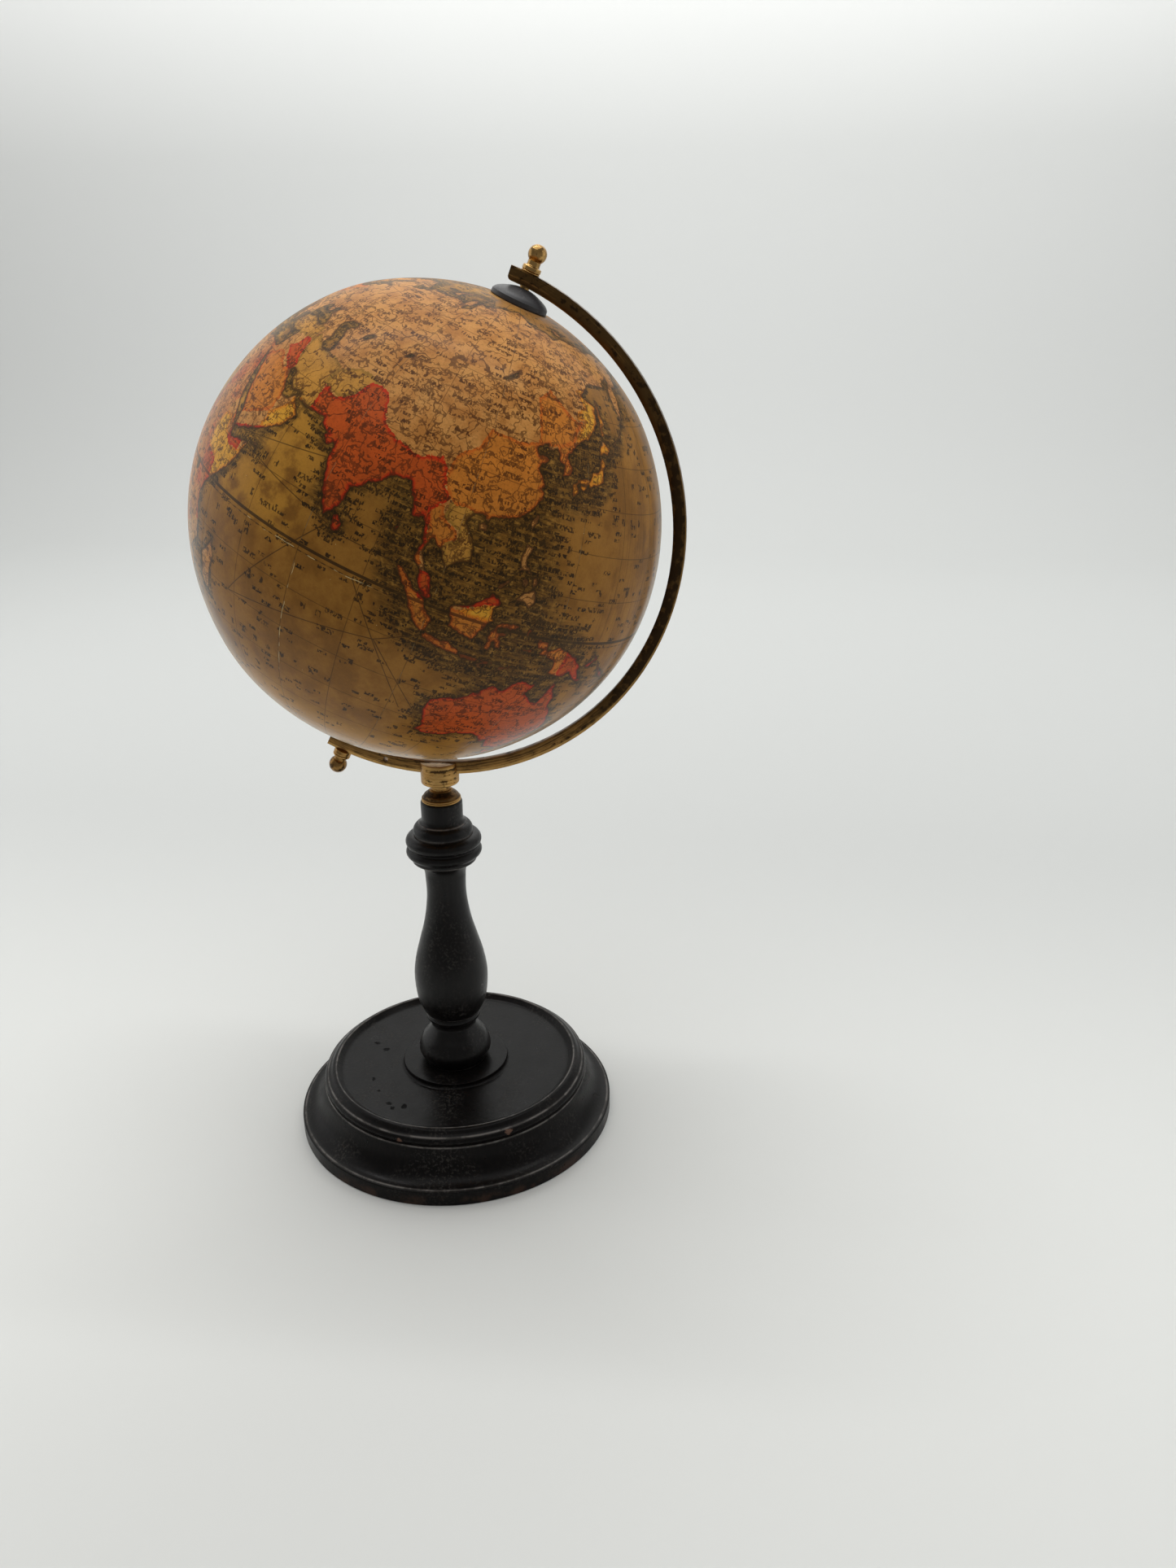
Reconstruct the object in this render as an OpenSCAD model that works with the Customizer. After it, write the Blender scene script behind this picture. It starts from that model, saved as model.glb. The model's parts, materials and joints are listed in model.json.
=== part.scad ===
// Desktop globe on a turned stand. Millimetres, +Z up. The origin is on the
// column's axis, where the base rests. The half meridian lies in the XZ plane
// and carries the globe on two pins, with its north pole leaning towards +X.

/* [Globe] */
// Radius of the finished globe
globe_r = 76.2; // [75:0.1:77]
// Distance from the globe's centre to the flats at its poles
pole_flat = 75.3; // [74.8:0.1:75.6]
// Thickness of the moulded hemispheres
shell_t = 4.5; // [3:0.5:6]
// Thickness of the printed and varnished paper
paper_t = 0.3; // [0.2:0.05:0.5]
// Number of printed gores around the globe
gore_count = 12; // [6, 8, 12]
// Radius of the round printed caps that cover the gore tips
calotte_r = 16; // [15:0.5:20]
// Longitude that faces the middle of the meridian at rest, in degrees
facing_longitude = 179.5; // [0:0.5:180]
// Longitude of the first gore edge, in degrees
first_gore_edge = 15; // [0:5:30]
// Radius of the wooden post inside the globe
post_r = 7; // [5.5:0.5:10]

/* [Meridian] */
// Height of the meridian's centre above the table
ring_z = 227.1; // [225:0.1:230]
// Inner radius of the meridian
ring_in_r = 81.8; // [81.5:0.1:83]
// Depth of the meridian bar, in the plane of the ring
ring_t = 4.2; // [3.5:0.1:5]
// Width of the meridian bar, across the plane of the ring
ring_w = 3.5; // [3:0.1:5]
// Lean of the polar axis from upright, in degrees
axis_tilt = 24.7; // [22:0.1:26]
// Shift of the polar axis from the ring's centre, towards the bar
axis_shift = 1.3; // [0:0.1:1.6]
// Shift of the globe from the ring's centre, along the polar axis
globe_lift = 1.1; // [0.8:0.1:1.4]
// Length of bar beyond the middle of each pin
end_past_pin = 5.7; // [5:0.1:7]
// Radius of the rounded inner corner at each end of the bar
end_corner_r = 1.3; // [0.5:0.1:1.5]
// Radius of the small hole drilled through the bar near its south end
side_hole_r = 0.9; // [0.5:0.1:1.2]
// Angle along the bar from the south pin to that hole, in degrees
side_hole_at = 11.5; // [8:0.5:14]

/* [Pins and dial] */
// Radius of the pins' shanks
pin_r = 1.5; // [1.2:0.1:1.8]
// Running gap between a pin and the bush that turns on it
pin_gap = 0.05; // [0.03:0.01:0.08]
// Radius of the brass bushes in the globe
bush_r = 3; // [2.5:0.1:3.5]
// Radius of the dial over the north pole
dial_r = 9; // [8:0.1:10]
// Height of the dial's upright edge
dial_edge_h = 1.5; // [1.2:0.1:1.6]
// Height of the dial's domed top above its edge
dial_dome_h = 3.2; // [2.5:0.1:3.4]

/* [Column] */
// Height of the top of the turned column
column_top = 130.6; // [130:0.1:131]
// Radius of the column's plain top
column_top_r = 7.5; // [7:0.1:8]
// Radius of the two large rings near the top
ring_bead_r = 13.75; // [13.5:0.05:14]
// Greatest radius of the vase
vase_r = 13.8; // [13.5:0.1:14]
// Greatest radius of the bell at the column's foot
bell_r = 13.75; // [13.5:0.05:14]
// Radius of the tenon glued into the hole through the base
tenon_r = 7; // [5:0.5:8]

/* [Base] */
// Radius of the base
base_r = 60.1; // [60:0.1:62]
// Height of the upright edge of the base
plinth_h = 5.8; // [5:0.1:6.2]
// Radius of the rim around the dish
rim_r = 46.4; // [46:0.1:47]
// Height of that rim
rim_z = 22.9; // [22.6:0.1:23.2]
// Height of the dish's floor
dish_z = 20.7; // [20.4:0.1:21]
// Radius of the raised seat under the column
boss_r = 20; // [18:0.5:22]
// Height of that seat
boss_z = 22.8; // [22.5:0.1:23.2]

/* [Hidden] */
$fn = 64;
arc_steps = 10;
big = 400;

// Brass fittings between the column and the meridian
washer_t = 0.65;
cap_flange_t = 0.65;
cap_flange_r = 7;
cap_top_r = 3.9;
socket_r = 6.8;
socket_neck_r = 3.6;
stud_r = 2.2;
stud_point_z = 106;
stud_top_z = 140.5;

// Derived places
ring_out_r = ring_in_r + ring_t;
cap_z = column_top + washer_t;
socket_neck_z = 134.7;
socket_z = 137.3;
socket_top = ring_z - ring_in_r;
north_seat = ring_out_r - globe_lift;
south_seat = ring_out_r + globe_lift;
globe_centre = [
    axis_shift * cos(axis_tilt) + globe_lift * sin(axis_tilt),
    0,
    ring_z - axis_shift * sin(axis_tilt) + globe_lift * cos(axis_tilt)
];
shell_r = globe_r - paper_t;
hollow_r = shell_r - shell_t;
shell_flat = pole_flat - paper_t;
bush_depth = 17;
pin_depth = 13;
side_hole_depth = 1.8;
running_gap = 0.1;
gore_angle = 360 / gore_count;
end_turn = asin((end_past_pin - axis_shift) / ring_in_r);

GORES = [for (i = [1 : gore_count]) str("map_gore_", i)];

// Points of an elliptical arc about c, from angle a to angle b
function arc(c, rx, ry, a, b) = [
    for (i = [0 : arc_steps])
        let (t = a + (b - a) * i / arc_steps)
            [c[0] + rx * cos(t), c[1] + ry * sin(t)]
];

// One point of a smooth curve through b and c, with neighbours a and d
function blend_point(a, b, c, d, t) =
    b + 0.5 * t * ((c - a) + t * ((2 * a - 5 * b + 4 * c - d) + t * (3 * (b - c) + d - a)));

// Smooth curve through a list of points
function smooth(p, steps = 5) = let (last = len(p) - 1) [
    for (k = [0 : last - 1], i = [0 : (k == last - 1 ? steps : steps - 1)])
        blend_point(
            p[max(k - 1, 0)], p[k], p[k + 1], p[min(k + 2, last)], i / steps
        )
];

// Half outline turned about the Z axis
module turned(outline) {
    rotate_extrude($fn = 96) polygon(outline);
}

// Places its children on the globe's centre, with Z along the polar axis
module polar() {
    translate(globe_centre) rotate([0, axis_tilt, 0]) children();
}

// Same, turned over so that Z runs out through the south pole
module polar_south() {
    polar() mirror([0, 0, 1]) children();
}

// ---- Wooden stand ----

module base() {
    outline = concat(
        [[0, 0], [base_r - 0.5, 0]],
        arc([base_r - 0.5, 0.5], 0.5, 0.5, -90, 0),
        arc([base_r - 0.6, plinth_h - 0.5], 0.6, 0.5, 0, 90),
        [[base_r - 0.9, plinth_h], [base_r - 1, plinth_h + 0.2]],
        arc([base_r - 1, rim_z - 5.3], 8.4, 11.6, 270, 180),
        [[rim_r + 3.7, rim_z - 5.2]],
        arc([rim_r + 2.5, rim_z - 3.8], 1.6, 1.7, -50, 75),
        smooth([
            [rim_r + 2.9, rim_z - 2.1], [rim_r + 1.9, rim_z - 1.4],
            [rim_r + 0.9, rim_z - 0.4], [rim_r, rim_z]
        ]),
        [[rim_r - 0.4, rim_z]],
        smooth([
            [rim_r - 0.6, rim_z - 0.15], [rim_r - 1.6, rim_z - 1],
            [rim_r - 3, rim_z - 1.9], [rim_r - 5.4, dish_z]
        ]),
        [[boss_r + 1.2, dish_z]],
        arc([boss_r + 1.2, dish_z + 0.9], 1.2, 0.9, 270, 180),
        arc([boss_r - 0.3, boss_z - 0.3], 0.3, 0.3, 0, 90),
        [[0, boss_z]]
    );
    color("#1d1b1a") difference() {
        turned(outline);
        cylinder(r = tenon_r, h = big, center = true);
    }
}

module column() {
    outline = concat(
        [[0, 0], [tenon_r, 0], [tenon_r, boss_z], [11.6, boss_z]],
        smooth([
            [11.8, 23.2], [bell_r - 1, 24.9], [bell_r, 28], [12.5, 32.3],
            [10.1, 35.4], [8.5, 37.6], [8.3, 39.2]
        ]),
        [[8.4, 40], [9.1, 40.5]],
        arc([8.9, 42.2], 1.3, 1.6, -75, 75),
        smooth([
            [10.2, 43.9], [11.4, 46], [13.1, 51], [vase_r, 59.5], [12.9, 67],
            [11, 74.4], [9, 81.6], [7.8, 88.2], [7.25, 94.5], [7.45, 101.3]
        ]),
        arc([11.1, 101.3], 3.65, 5.9, 180, 110),
        [[11.3, 107.2], [11.7, 107.5], [11.7, 108.6]],
        arc([11.2, 111.1], ring_bead_r - 11.2, 2.1, -65, 55),
        arc([10.4, 115.2], ring_bead_r - 10.4, 2.7, -45, 88),
        [[10.6, 117.7], [10.9, 118.1]],
        arc([8.4, 118.6], 2.5, 3.3, 5, 80),
        arc([9, 124], 1.5, 1.9, 255, 180),
        [[column_top_r, 124.5]],
        arc([column_top_r - 0.8, column_top - 0.8], 0.8, 0.8, 0, 90),
        [[0, column_top]]
    );
    color("#1a1818") difference() {
        turned(outline);
        translate([0, 0, stud_point_z]) cylinder(r = stud_r, h = big);
    }
}

// ---- Brass fittings on the column ----

module cap_washer() {
    outline = [
        [stud_r, column_top], [cap_flange_r - 0.1, column_top],
        [cap_flange_r + 0.05, column_top + 0.15],
        [cap_flange_r + 0.05, cap_z - 0.2], [cap_flange_r - 0.2, cap_z],
        [stud_r, cap_z]
    ];
    color("#b08d55") turned(outline);
}

module column_cap() {
    dome_z = cap_z + cap_flange_t;
    outline = concat(
        [
            [stud_r, cap_z], [cap_flange_r - 0.2, cap_z],
            [cap_flange_r, cap_z + 0.2], [cap_flange_r, dome_z - 0.15],
            [cap_flange_r - 0.25, dome_z]
        ],
        smooth([
            [cap_flange_r - 0.4, dome_z + 0.1], [6.1, dome_z + 1],
            [5.1, dome_z + 1.8], [cap_top_r, socket_neck_z]
        ]),
        [[stud_r, socket_neck_z]]
    );
    color("#5c4a33") turned(outline);
}

module arm_stud() {
    outline = [
        [0, stud_point_z], [stud_r, stud_point_z + 5], [stud_r, stud_top_z],
        [0, stud_top_z]
    ];
    color("#8c7a55") turned(outline);
}

module arm_socket() {
    outline = concat(
        [[0, socket_neck_z], [socket_neck_r, socket_neck_z]],
        [[socket_neck_r, socket_z - 0.4]],
        arc([socket_neck_r + 0.4, socket_z - 0.4], 0.4, 0.4, 180, 90),
        arc([socket_r - 0.8, socket_z + 0.8], 0.8, 0.8, -90, 0),
        arc([socket_r - 0.3, socket_top - 0.3], 0.3, 0.3, 0, 90),
        [[0, socket_top]]
    );
    color("#a8854c") difference() {
        turned(outline);
        translate([0, 0, socket_neck_z - 1])
            cylinder(r = stud_r, h = stud_top_z - socket_neck_z + 1);
        in_ring_plane(ring_w) ring_outline();
    }
}

// ---- Meridian, its pins and the collar under the globe ----

// Flat outline of the whole ring; X points at the bar's middle, Y along the axis
module ring_outline() {
    difference() {
        circle(ring_out_r, $fn = 180);
        circle(ring_in_r, $fn = 180);
    }
}

// Everything beyond an end of the bar that lies along X, with the rounded inner
// corner of that end running out through the bar's inner face
module beyond_end() {
    r = end_corner_r;
    polygon(concat(
        [[0, 0], [ring_in_r - 0.3, -2.2 * r]],
        arc([ring_in_r + r, -r], r, r, 165, 90),
        [[big, 0], [big, big], [0, big]]
    ));
}

// Stands a flat outline up in the plane of the meridian, around the ring's centre
module in_ring_plane(width) {
    translate([0, 0, ring_z]) rotate([0, axis_tilt, 0]) rotate([90, 0, 0])
        linear_extrude(width, center = true) children();
}

module meridian_arm() {
    color("#8f7344") difference() {
        in_ring_plane(ring_w) difference() {
            ring_outline();
            for (side = [0, 1]) mirror([0, side])
                rotate(90 + end_turn) beyond_end();
        }
        polar() cylinder(r = pin_r, h = big, center = true);
        in_ring_plane(big) rotate(side_hole_at - 90)
            translate([ring_in_r + side_hole_depth, 0]) circle(side_hole_r);
    }
}

// Shank, grooved collar, neck and ball of a pin, with the collar on the bar
module ball_pin(seat, collar_r, collar_h, groove_h, neck_r, ball_r, ball_z) {
    tip = pole_flat - pin_depth;
    ball_start = asin(neck_r / ball_r) - 90;
    outline = concat(
        [[0, tip], [pin_r - 0.4, tip], [pin_r, tip + 0.6], [pin_r, seat]],
        [[collar_r - 0.15, seat], [collar_r, seat + 0.15]],
        [[collar_r, seat + groove_h - 0.15], [collar_r - 0.3, seat + groove_h]],
        [[collar_r, seat + groove_h + 0.15]],
        [[collar_r, seat + collar_h - 0.25], [collar_r - 0.2, seat + collar_h]],
        [[neck_r + 0.25, seat + collar_h + 0.05]],
        [[neck_r, seat + collar_h + 0.35]],
        arc([0, ball_z], ball_r, ball_r, ball_start, 72),
        [[0, ball_z + ball_r * sin(74)]]
    );
    turned(outline);
}

module north_pin() {
    color("#a98a55") polar()
        ball_pin(north_seat, 2.95, 1.95, 0.5, 2, 2.9, 90.6);
}

module south_pin() {
    color("#7d6140") polar_south()
        ball_pin(south_seat, 3.1, 2.7, 1.8, 2.2, 3.15, 93.4);
}

module south_collar() {
    bottom = pole_flat + running_gap;
    top = globe_lift + ring_in_r - 0.2;
    outline = [
        [pin_r, bottom], [2.6, bottom], [3, bottom + 0.4], [2.6, bottom + 1.2],
        [2.6, top - 1.6], [3.4, top - 0.8], [3.4, top - 0.2], [3.2, top],
        [pin_r, top]
    ];
    color("#8f7344") polar_south() turned(outline);
}

// ---- Dial over the north pole ----

module pole_dial() {
    bottom = pole_flat + running_gap;
    edge = bottom + dial_edge_h;
    top = edge + dial_dome_h;
    hole_r = pin_r + 2 * pin_gap;
    outline = concat(
        [[hole_r, bottom], [dial_r, bottom], [dial_r + 0.1, bottom + 0.2]],
        smooth([
            [dial_r, edge], [0.9 * dial_r, top - 0.7 * dial_dome_h],
            [0.72 * dial_r, top - 0.43 * dial_dome_h],
            [0.46 * dial_r, top - 0.16 * dial_dome_h],
            [0.27 * dial_r, top - 0.03 * dial_dome_h]
        ]),
        [[hole_r + 0.3, top], [hole_r, top - 0.3]]
    );
    color("#232120") polar() turned(outline);
}

// ---- Globe ----

// Ball with flats at its poles
module flattened_ball(r, flat) {
    intersection() {
        sphere(r, $fn = 120);
        cube([big, big, 2 * flat], center = true);
    }
}

module hemisphere() {
    difference() {
        flattened_ball(shell_r, shell_flat);
        sphere(hollow_r, $fn = 120);
        cylinder(r = bush_r, h = big);
        translate([0, 0, -big / 2]) cube(big, center = true);
    }
}

module north_shell() {
    color("#cbbf9f") polar() hemisphere();
}

module south_shell() {
    color("#c3b694") polar_south() hemisphere();
}

module axle_post() {
    bore_z = pole_flat - bush_depth;
    color("#b08a5a") polar() difference() {
        intersection() {
            cylinder(r = post_r, h = big, center = true);
            sphere(hollow_r, $fn = 120);
        }
        for (side = [0, 1]) mirror([0, 0, side])
            translate([0, 0, bore_z]) cylinder(r = bush_r, h = big);
    }
}

module bush() {
    translate([0, 0, pole_flat - bush_depth]) difference() {
        cylinder(r = bush_r, h = bush_depth);
        cylinder(r = pin_r + pin_gap, h = 3 * bush_depth, center = true);
    }
}

module north_bush() {
    color("#b08d55") polar() bush();
}

module south_bush() {
    color("#b08d55") polar_south() bush();
}

// Round printed cap of paper over the tips of the gores
module calotte() {
    difference() {
        intersection() {
            flattened_ball(globe_r, pole_flat);
            cylinder(r = calotte_r, h = big);
        }
        flattened_ball(shell_r, shell_flat);
        cylinder(r = bush_r, h = big);
    }
}

module north_calotte() {
    color("#b98d52") polar() calotte();
}

module south_calotte() {
    color("#a3835a") polar_south() calotte();
}

// Printed gore number i, between two meridians
module map_gore(i) {
    start = first_gore_edge + (i - 1) * gore_angle - facing_longitude;
    color(i % 2 == 0 ? "#8a6a3a" : "#a5793f") polar() rotate(start)
        rotate_extrude(angle = gore_angle, $fn = 120) difference() {
            translate([calotte_r, -big / 2]) square([big, big]);
            difference() {
                square(3 * big, center = true);
                circle(globe_r, $fn = 180);
            }
            circle(shell_r, $fn = 180);
        }
}

base();
column();
cap_washer();
column_cap();
arm_stud();
arm_socket();
meridian_arm();
north_pin();
south_pin();
south_collar();
north_shell();
south_shell();
axle_post();
north_bush();
south_bush();
north_calotte();
south_calotte();
pole_dial();
for (i = [1 : gore_count])
    map_gore(i);
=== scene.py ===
"""Looks of a small antique desk globe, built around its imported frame.

Metres, +Z up, origin on the column's axis at the table. The half meridian lies in the XZ plane.
Longitudes and latitudes are in degrees, east and north positive.
"""

import json
import math

import bmesh
import bpy
import numpy as np
from mathutils import Matrix, Vector
from mathutils import noise as mathutils_noise


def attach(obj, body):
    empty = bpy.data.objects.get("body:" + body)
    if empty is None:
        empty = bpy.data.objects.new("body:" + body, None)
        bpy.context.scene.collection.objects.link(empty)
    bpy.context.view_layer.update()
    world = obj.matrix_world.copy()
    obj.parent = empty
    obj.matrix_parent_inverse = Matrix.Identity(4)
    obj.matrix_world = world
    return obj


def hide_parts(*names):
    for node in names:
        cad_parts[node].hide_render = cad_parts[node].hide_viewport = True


MM = 0.001
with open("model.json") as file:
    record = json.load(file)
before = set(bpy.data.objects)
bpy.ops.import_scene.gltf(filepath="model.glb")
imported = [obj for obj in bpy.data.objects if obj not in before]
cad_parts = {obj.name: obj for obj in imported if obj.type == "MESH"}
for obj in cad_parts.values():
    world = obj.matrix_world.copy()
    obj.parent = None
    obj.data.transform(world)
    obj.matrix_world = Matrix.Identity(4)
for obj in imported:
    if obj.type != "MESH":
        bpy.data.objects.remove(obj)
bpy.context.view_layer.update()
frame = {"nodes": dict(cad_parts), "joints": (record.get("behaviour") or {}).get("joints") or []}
scene = bpy.context.scene
scene.view_settings.view_transform = "Standard"


# ---- Camera, floor and light ----


def turned_about(axis, degrees):
    return Matrix.Rotation(math.radians(degrees), 3, axis)


def make_camera():
    """Stands in front of the globe, a little to the right and above, and looks down at the whole object."""
    aim = Vector((0, 0, 0.150))
    azimuth, elevation, distance = 15.33, 19.73, 0.4372
    yaw, pitch, roll = -7.36, 21.61, -0.57
    focal_length_mm = 28.185
    back = turned_about("Z", azimuth) @ turned_about("X", -elevation) @ Vector((0, -1, 0))
    data = bpy.data.cameras.new("camera")
    data.lens = focal_length_mm
    camera = bpy.data.objects.new("camera", data)
    scene.collection.objects.link(camera)
    upright = turned_about("X", 90 - pitch)
    turn = turned_about("Z", azimuth + yaw) @ upright @ turned_about("Z", roll)
    camera.matrix_world = Matrix.Translation(aim + back * distance) @ turn.to_4x4()
    scene.camera = camera


def make_floor():
    """A pale sweep: a floor that starts below the picture's edge and curves up into a wall far behind."""
    front, depth, bend, height, half_width = -0.30, 1.1, 0.5, 2.6, 3.0
    steps = 16
    line = [(front, 0.0), (depth, 0.0)]
    for i in range(1, steps + 1):
        a = math.pi / 2 * i / steps
        line.append((depth + bend * math.sin(a), bend * (1 - math.cos(a))))
    line.append((depth + bend, height))
    points = [(x, y, z) for y, z in line for x in (-half_width, half_width)]
    faces = [(2 * i, 2 * i + 1, 2 * i + 3, 2 * i + 2) for i in range(len(line) - 1)]
    floor = new_object("floor", points, faces, smooth=True)
    floor.data.materials.append(studio_paper())


def studio_paper():
    """Pale at the front, with painted shade where the floor runs back behind the globe, and painted light up
    the wall.
    """
    n = Nodes("studio_paper")
    y, z = n.parts(n.place)[1:3]
    tone = n.mix(n.noise(3.0, detail=2.0), (0.67, 0.68, 0.66, 1), (0.69, 0.70, 0.68, 1))
    # Painted shade: the paper is greyer where the floor runs back behind the globe
    tone = n.mix(n.step(y, -0.12, 0.30), tone, (0.48, 0.49, 0.48, 1))
    # Painted light: the paper is brighter going up the wall
    tone = n.mix(n.step(z, 0.1, 1.3), tone, (0.99, 1.0, 0.985, 1))
    n.colour(tone)
    n.shader.inputs["Roughness"].default_value = 0.8
    return n.material


def make_light(name, place, aim, size, watts):
    data = bpy.data.lights.new(name, "AREA")
    data.shape = "RECTANGLE"
    data.size, data.size_y = size
    data.energy = watts
    lamp = bpy.data.objects.new(name, data)
    scene.collection.objects.link(lamp)
    lamp.location = place
    lamp.rotation_euler = (Vector(aim) - Vector(place)).to_track_quat("-Z", "Y").to_euler()


def make_studio():
    """The light of a white photo box: bright above, behind and at the sides, and dim at its open front."""
    world = bpy.data.worlds.new("studio")
    world.use_nodes = True
    background = world.node_tree.nodes["Background"]
    background.inputs["Color"].default_value = (1, 0.99, 0.97, 1)
    background.inputs["Strength"].default_value = 0.28
    scene.world = world
    make_light("top_softbox", (-0.10, 0.00, 1.50), (0, 0.05, 0.10), (1.6, 1.2), 8.9)
    make_light("wall_light", (0, 0.35, 2.1), (0, 1.6, 1.45), (2.4, 0.5), 55)
    make_light("left_panel", (-0.85, 0.15, 0.45), (0, 0, 0.15), (0.8, 0.8), 1.6)
    make_light("right_panel", (0.95, 0.15, 0.45), (0, 0, 0.15), (0.8, 0.8), 1.2)


# ---- Small helpers for meshes and materials ----


def new_object(name, points, faces, smooth=False):
    mesh = bpy.data.meshes.new(name)
    mesh.from_pydata([tuple(p) for p in points], [], faces)
    mesh.validate()
    obj = bpy.data.objects.new(name, mesh)
    scene.collection.objects.link(obj)
    if smooth:
        mesh.shade_smooth()
    return obj


class Nodes:
    """A material, and short words for building its node tree."""

    def __init__(self, name):
        self.material = bpy.data.materials.new(name)
        self.material.use_nodes = True
        self.tree = self.material.node_tree
        self.tree.nodes.clear()
        self.shader = self.add("ShaderNodeBsdfPrincipled")
        output = self.add("ShaderNodeOutputMaterial")
        self.tree.links.new(self.shader.outputs["BSDF"], output.inputs["Surface"])
        self.place = self.add("ShaderNodeTexCoord").outputs["Object"]

    def add(self, kind, inputs=None, **settings):
        node = self.tree.nodes.new(kind)
        for key, value in settings.items():
            setattr(node, key, value)
        for key, value in (inputs or {}).items():
            self.put(node.inputs[key], value)
        return node

    def put(self, socket, value):
        if isinstance(value, bpy.types.NodeSocket):
            self.tree.links.new(value, socket)
        else:
            socket.default_value = value

    def math(self, operation, a, b=0.0):
        return self.add("ShaderNodeMath", {0: a, 1: b}, operation=operation).outputs[0]

    def joined(self, operation, values):
        result = values[0]
        for value in values[1:]:
            result = self.math(operation, result, value)
        return result

    def times(self, *values):
        return self.joined("MULTIPLY", values)

    def plus(self, *values):
        return self.joined("ADD", values)

    def most(self, *values):
        return self.joined("MAXIMUM", values)

    def flip(self, a):
        return self.math("SUBTRACT", 1.0, a)

    def size_of(self, a):
        return self.math("ABSOLUTE", a)

    def centred(self, a):
        return self.math("SUBTRACT", a, 0.5)

    def step(self, value, low, high):
        """0 at low, 1 at high and smooth between them. High may be the lower one."""
        inputs = {0: value, 1: low, 2: high, 3: 0.0, 4: 1.0}
        return self.add("ShaderNodeMapRange", inputs, interpolation_type="SMOOTHSTEP").outputs[0]

    def vector(self, x, y, z):
        return self.add("ShaderNodeCombineXYZ", {0: x, 1: y, 2: z}).outputs[0]

    def parts(self, vector):
        return self.add("ShaderNodeSeparateXYZ", {0: vector}).outputs

    def stretched(self, vector, amounts):
        inputs = {0: vector, 1: amounts}
        return self.add("ShaderNodeVectorMath", inputs, operation="MULTIPLY").outputs[0]

    def length(self, x, y):
        return self.math("SQRT", self.plus(self.times(x, x), self.times(y, y)))

    def noise(self, scale, vector=None, detail=3.0, rough=0.5):
        vector = self.place if vector is None else vector
        inputs = {"Vector": vector, "Scale": scale, "Detail": detail, "Roughness": rough}
        return self.add("ShaderNodeTexNoise", inputs).outputs[0]

    def spots(self, scale, size, share):
        """1 in round spots of that size, in about that share of the cells."""
        node = self.add("ShaderNodeTexVoronoi", {"Vector": self.place, "Scale": scale})
        near = self.step(node.outputs["Distance"], size, size * 0.5)
        chosen = self.parts(node.outputs["Color"])[0]
        return self.times(near, self.math("LESS_THAN", chosen, share))

    def marks_at(self, places, ragged):
        """1 in ragged round marks at places given with their size, in mm."""
        marks = []
        for x, y, z, size in places:
            inputs = {0: self.place, 1: (x * MM, y * MM, z * MM)}
            away = self.add("ShaderNodeVectorMath", inputs, operation="DISTANCE").outputs["Value"]
            marks.append(self.step(self.plus(away, ragged), size * MM, 0.6 * size * MM))
        return self.most(*marks)

    def mix(self, factor, a, b, blend="MIX"):
        inputs = {0: factor, 6: a, 7: b}
        return self.add("ShaderNodeMix", data_type="RGBA", blend_type=blend, inputs=inputs).outputs[2]

    def bump(self, height, distance, strength):
        inputs = {"Height": height, "Distance": distance, "Strength": strength}
        return self.add("ShaderNodeBump", inputs).outputs[0]

    def attribute(self, name, output="Fac"):
        return self.add("ShaderNodeAttribute", attribute_name=name).outputs[output]

    def colour(self, value):
        self.put(self.shader.inputs["Base Color"], value)

    def roughness(self, value):
        self.put(self.shader.inputs["Roughness"], value)

    def normal(self, value):
        self.put(self.shader.inputs["Normal"], value)


# ---- The map: outlines, as degrees of longitude and latitude ----

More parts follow.
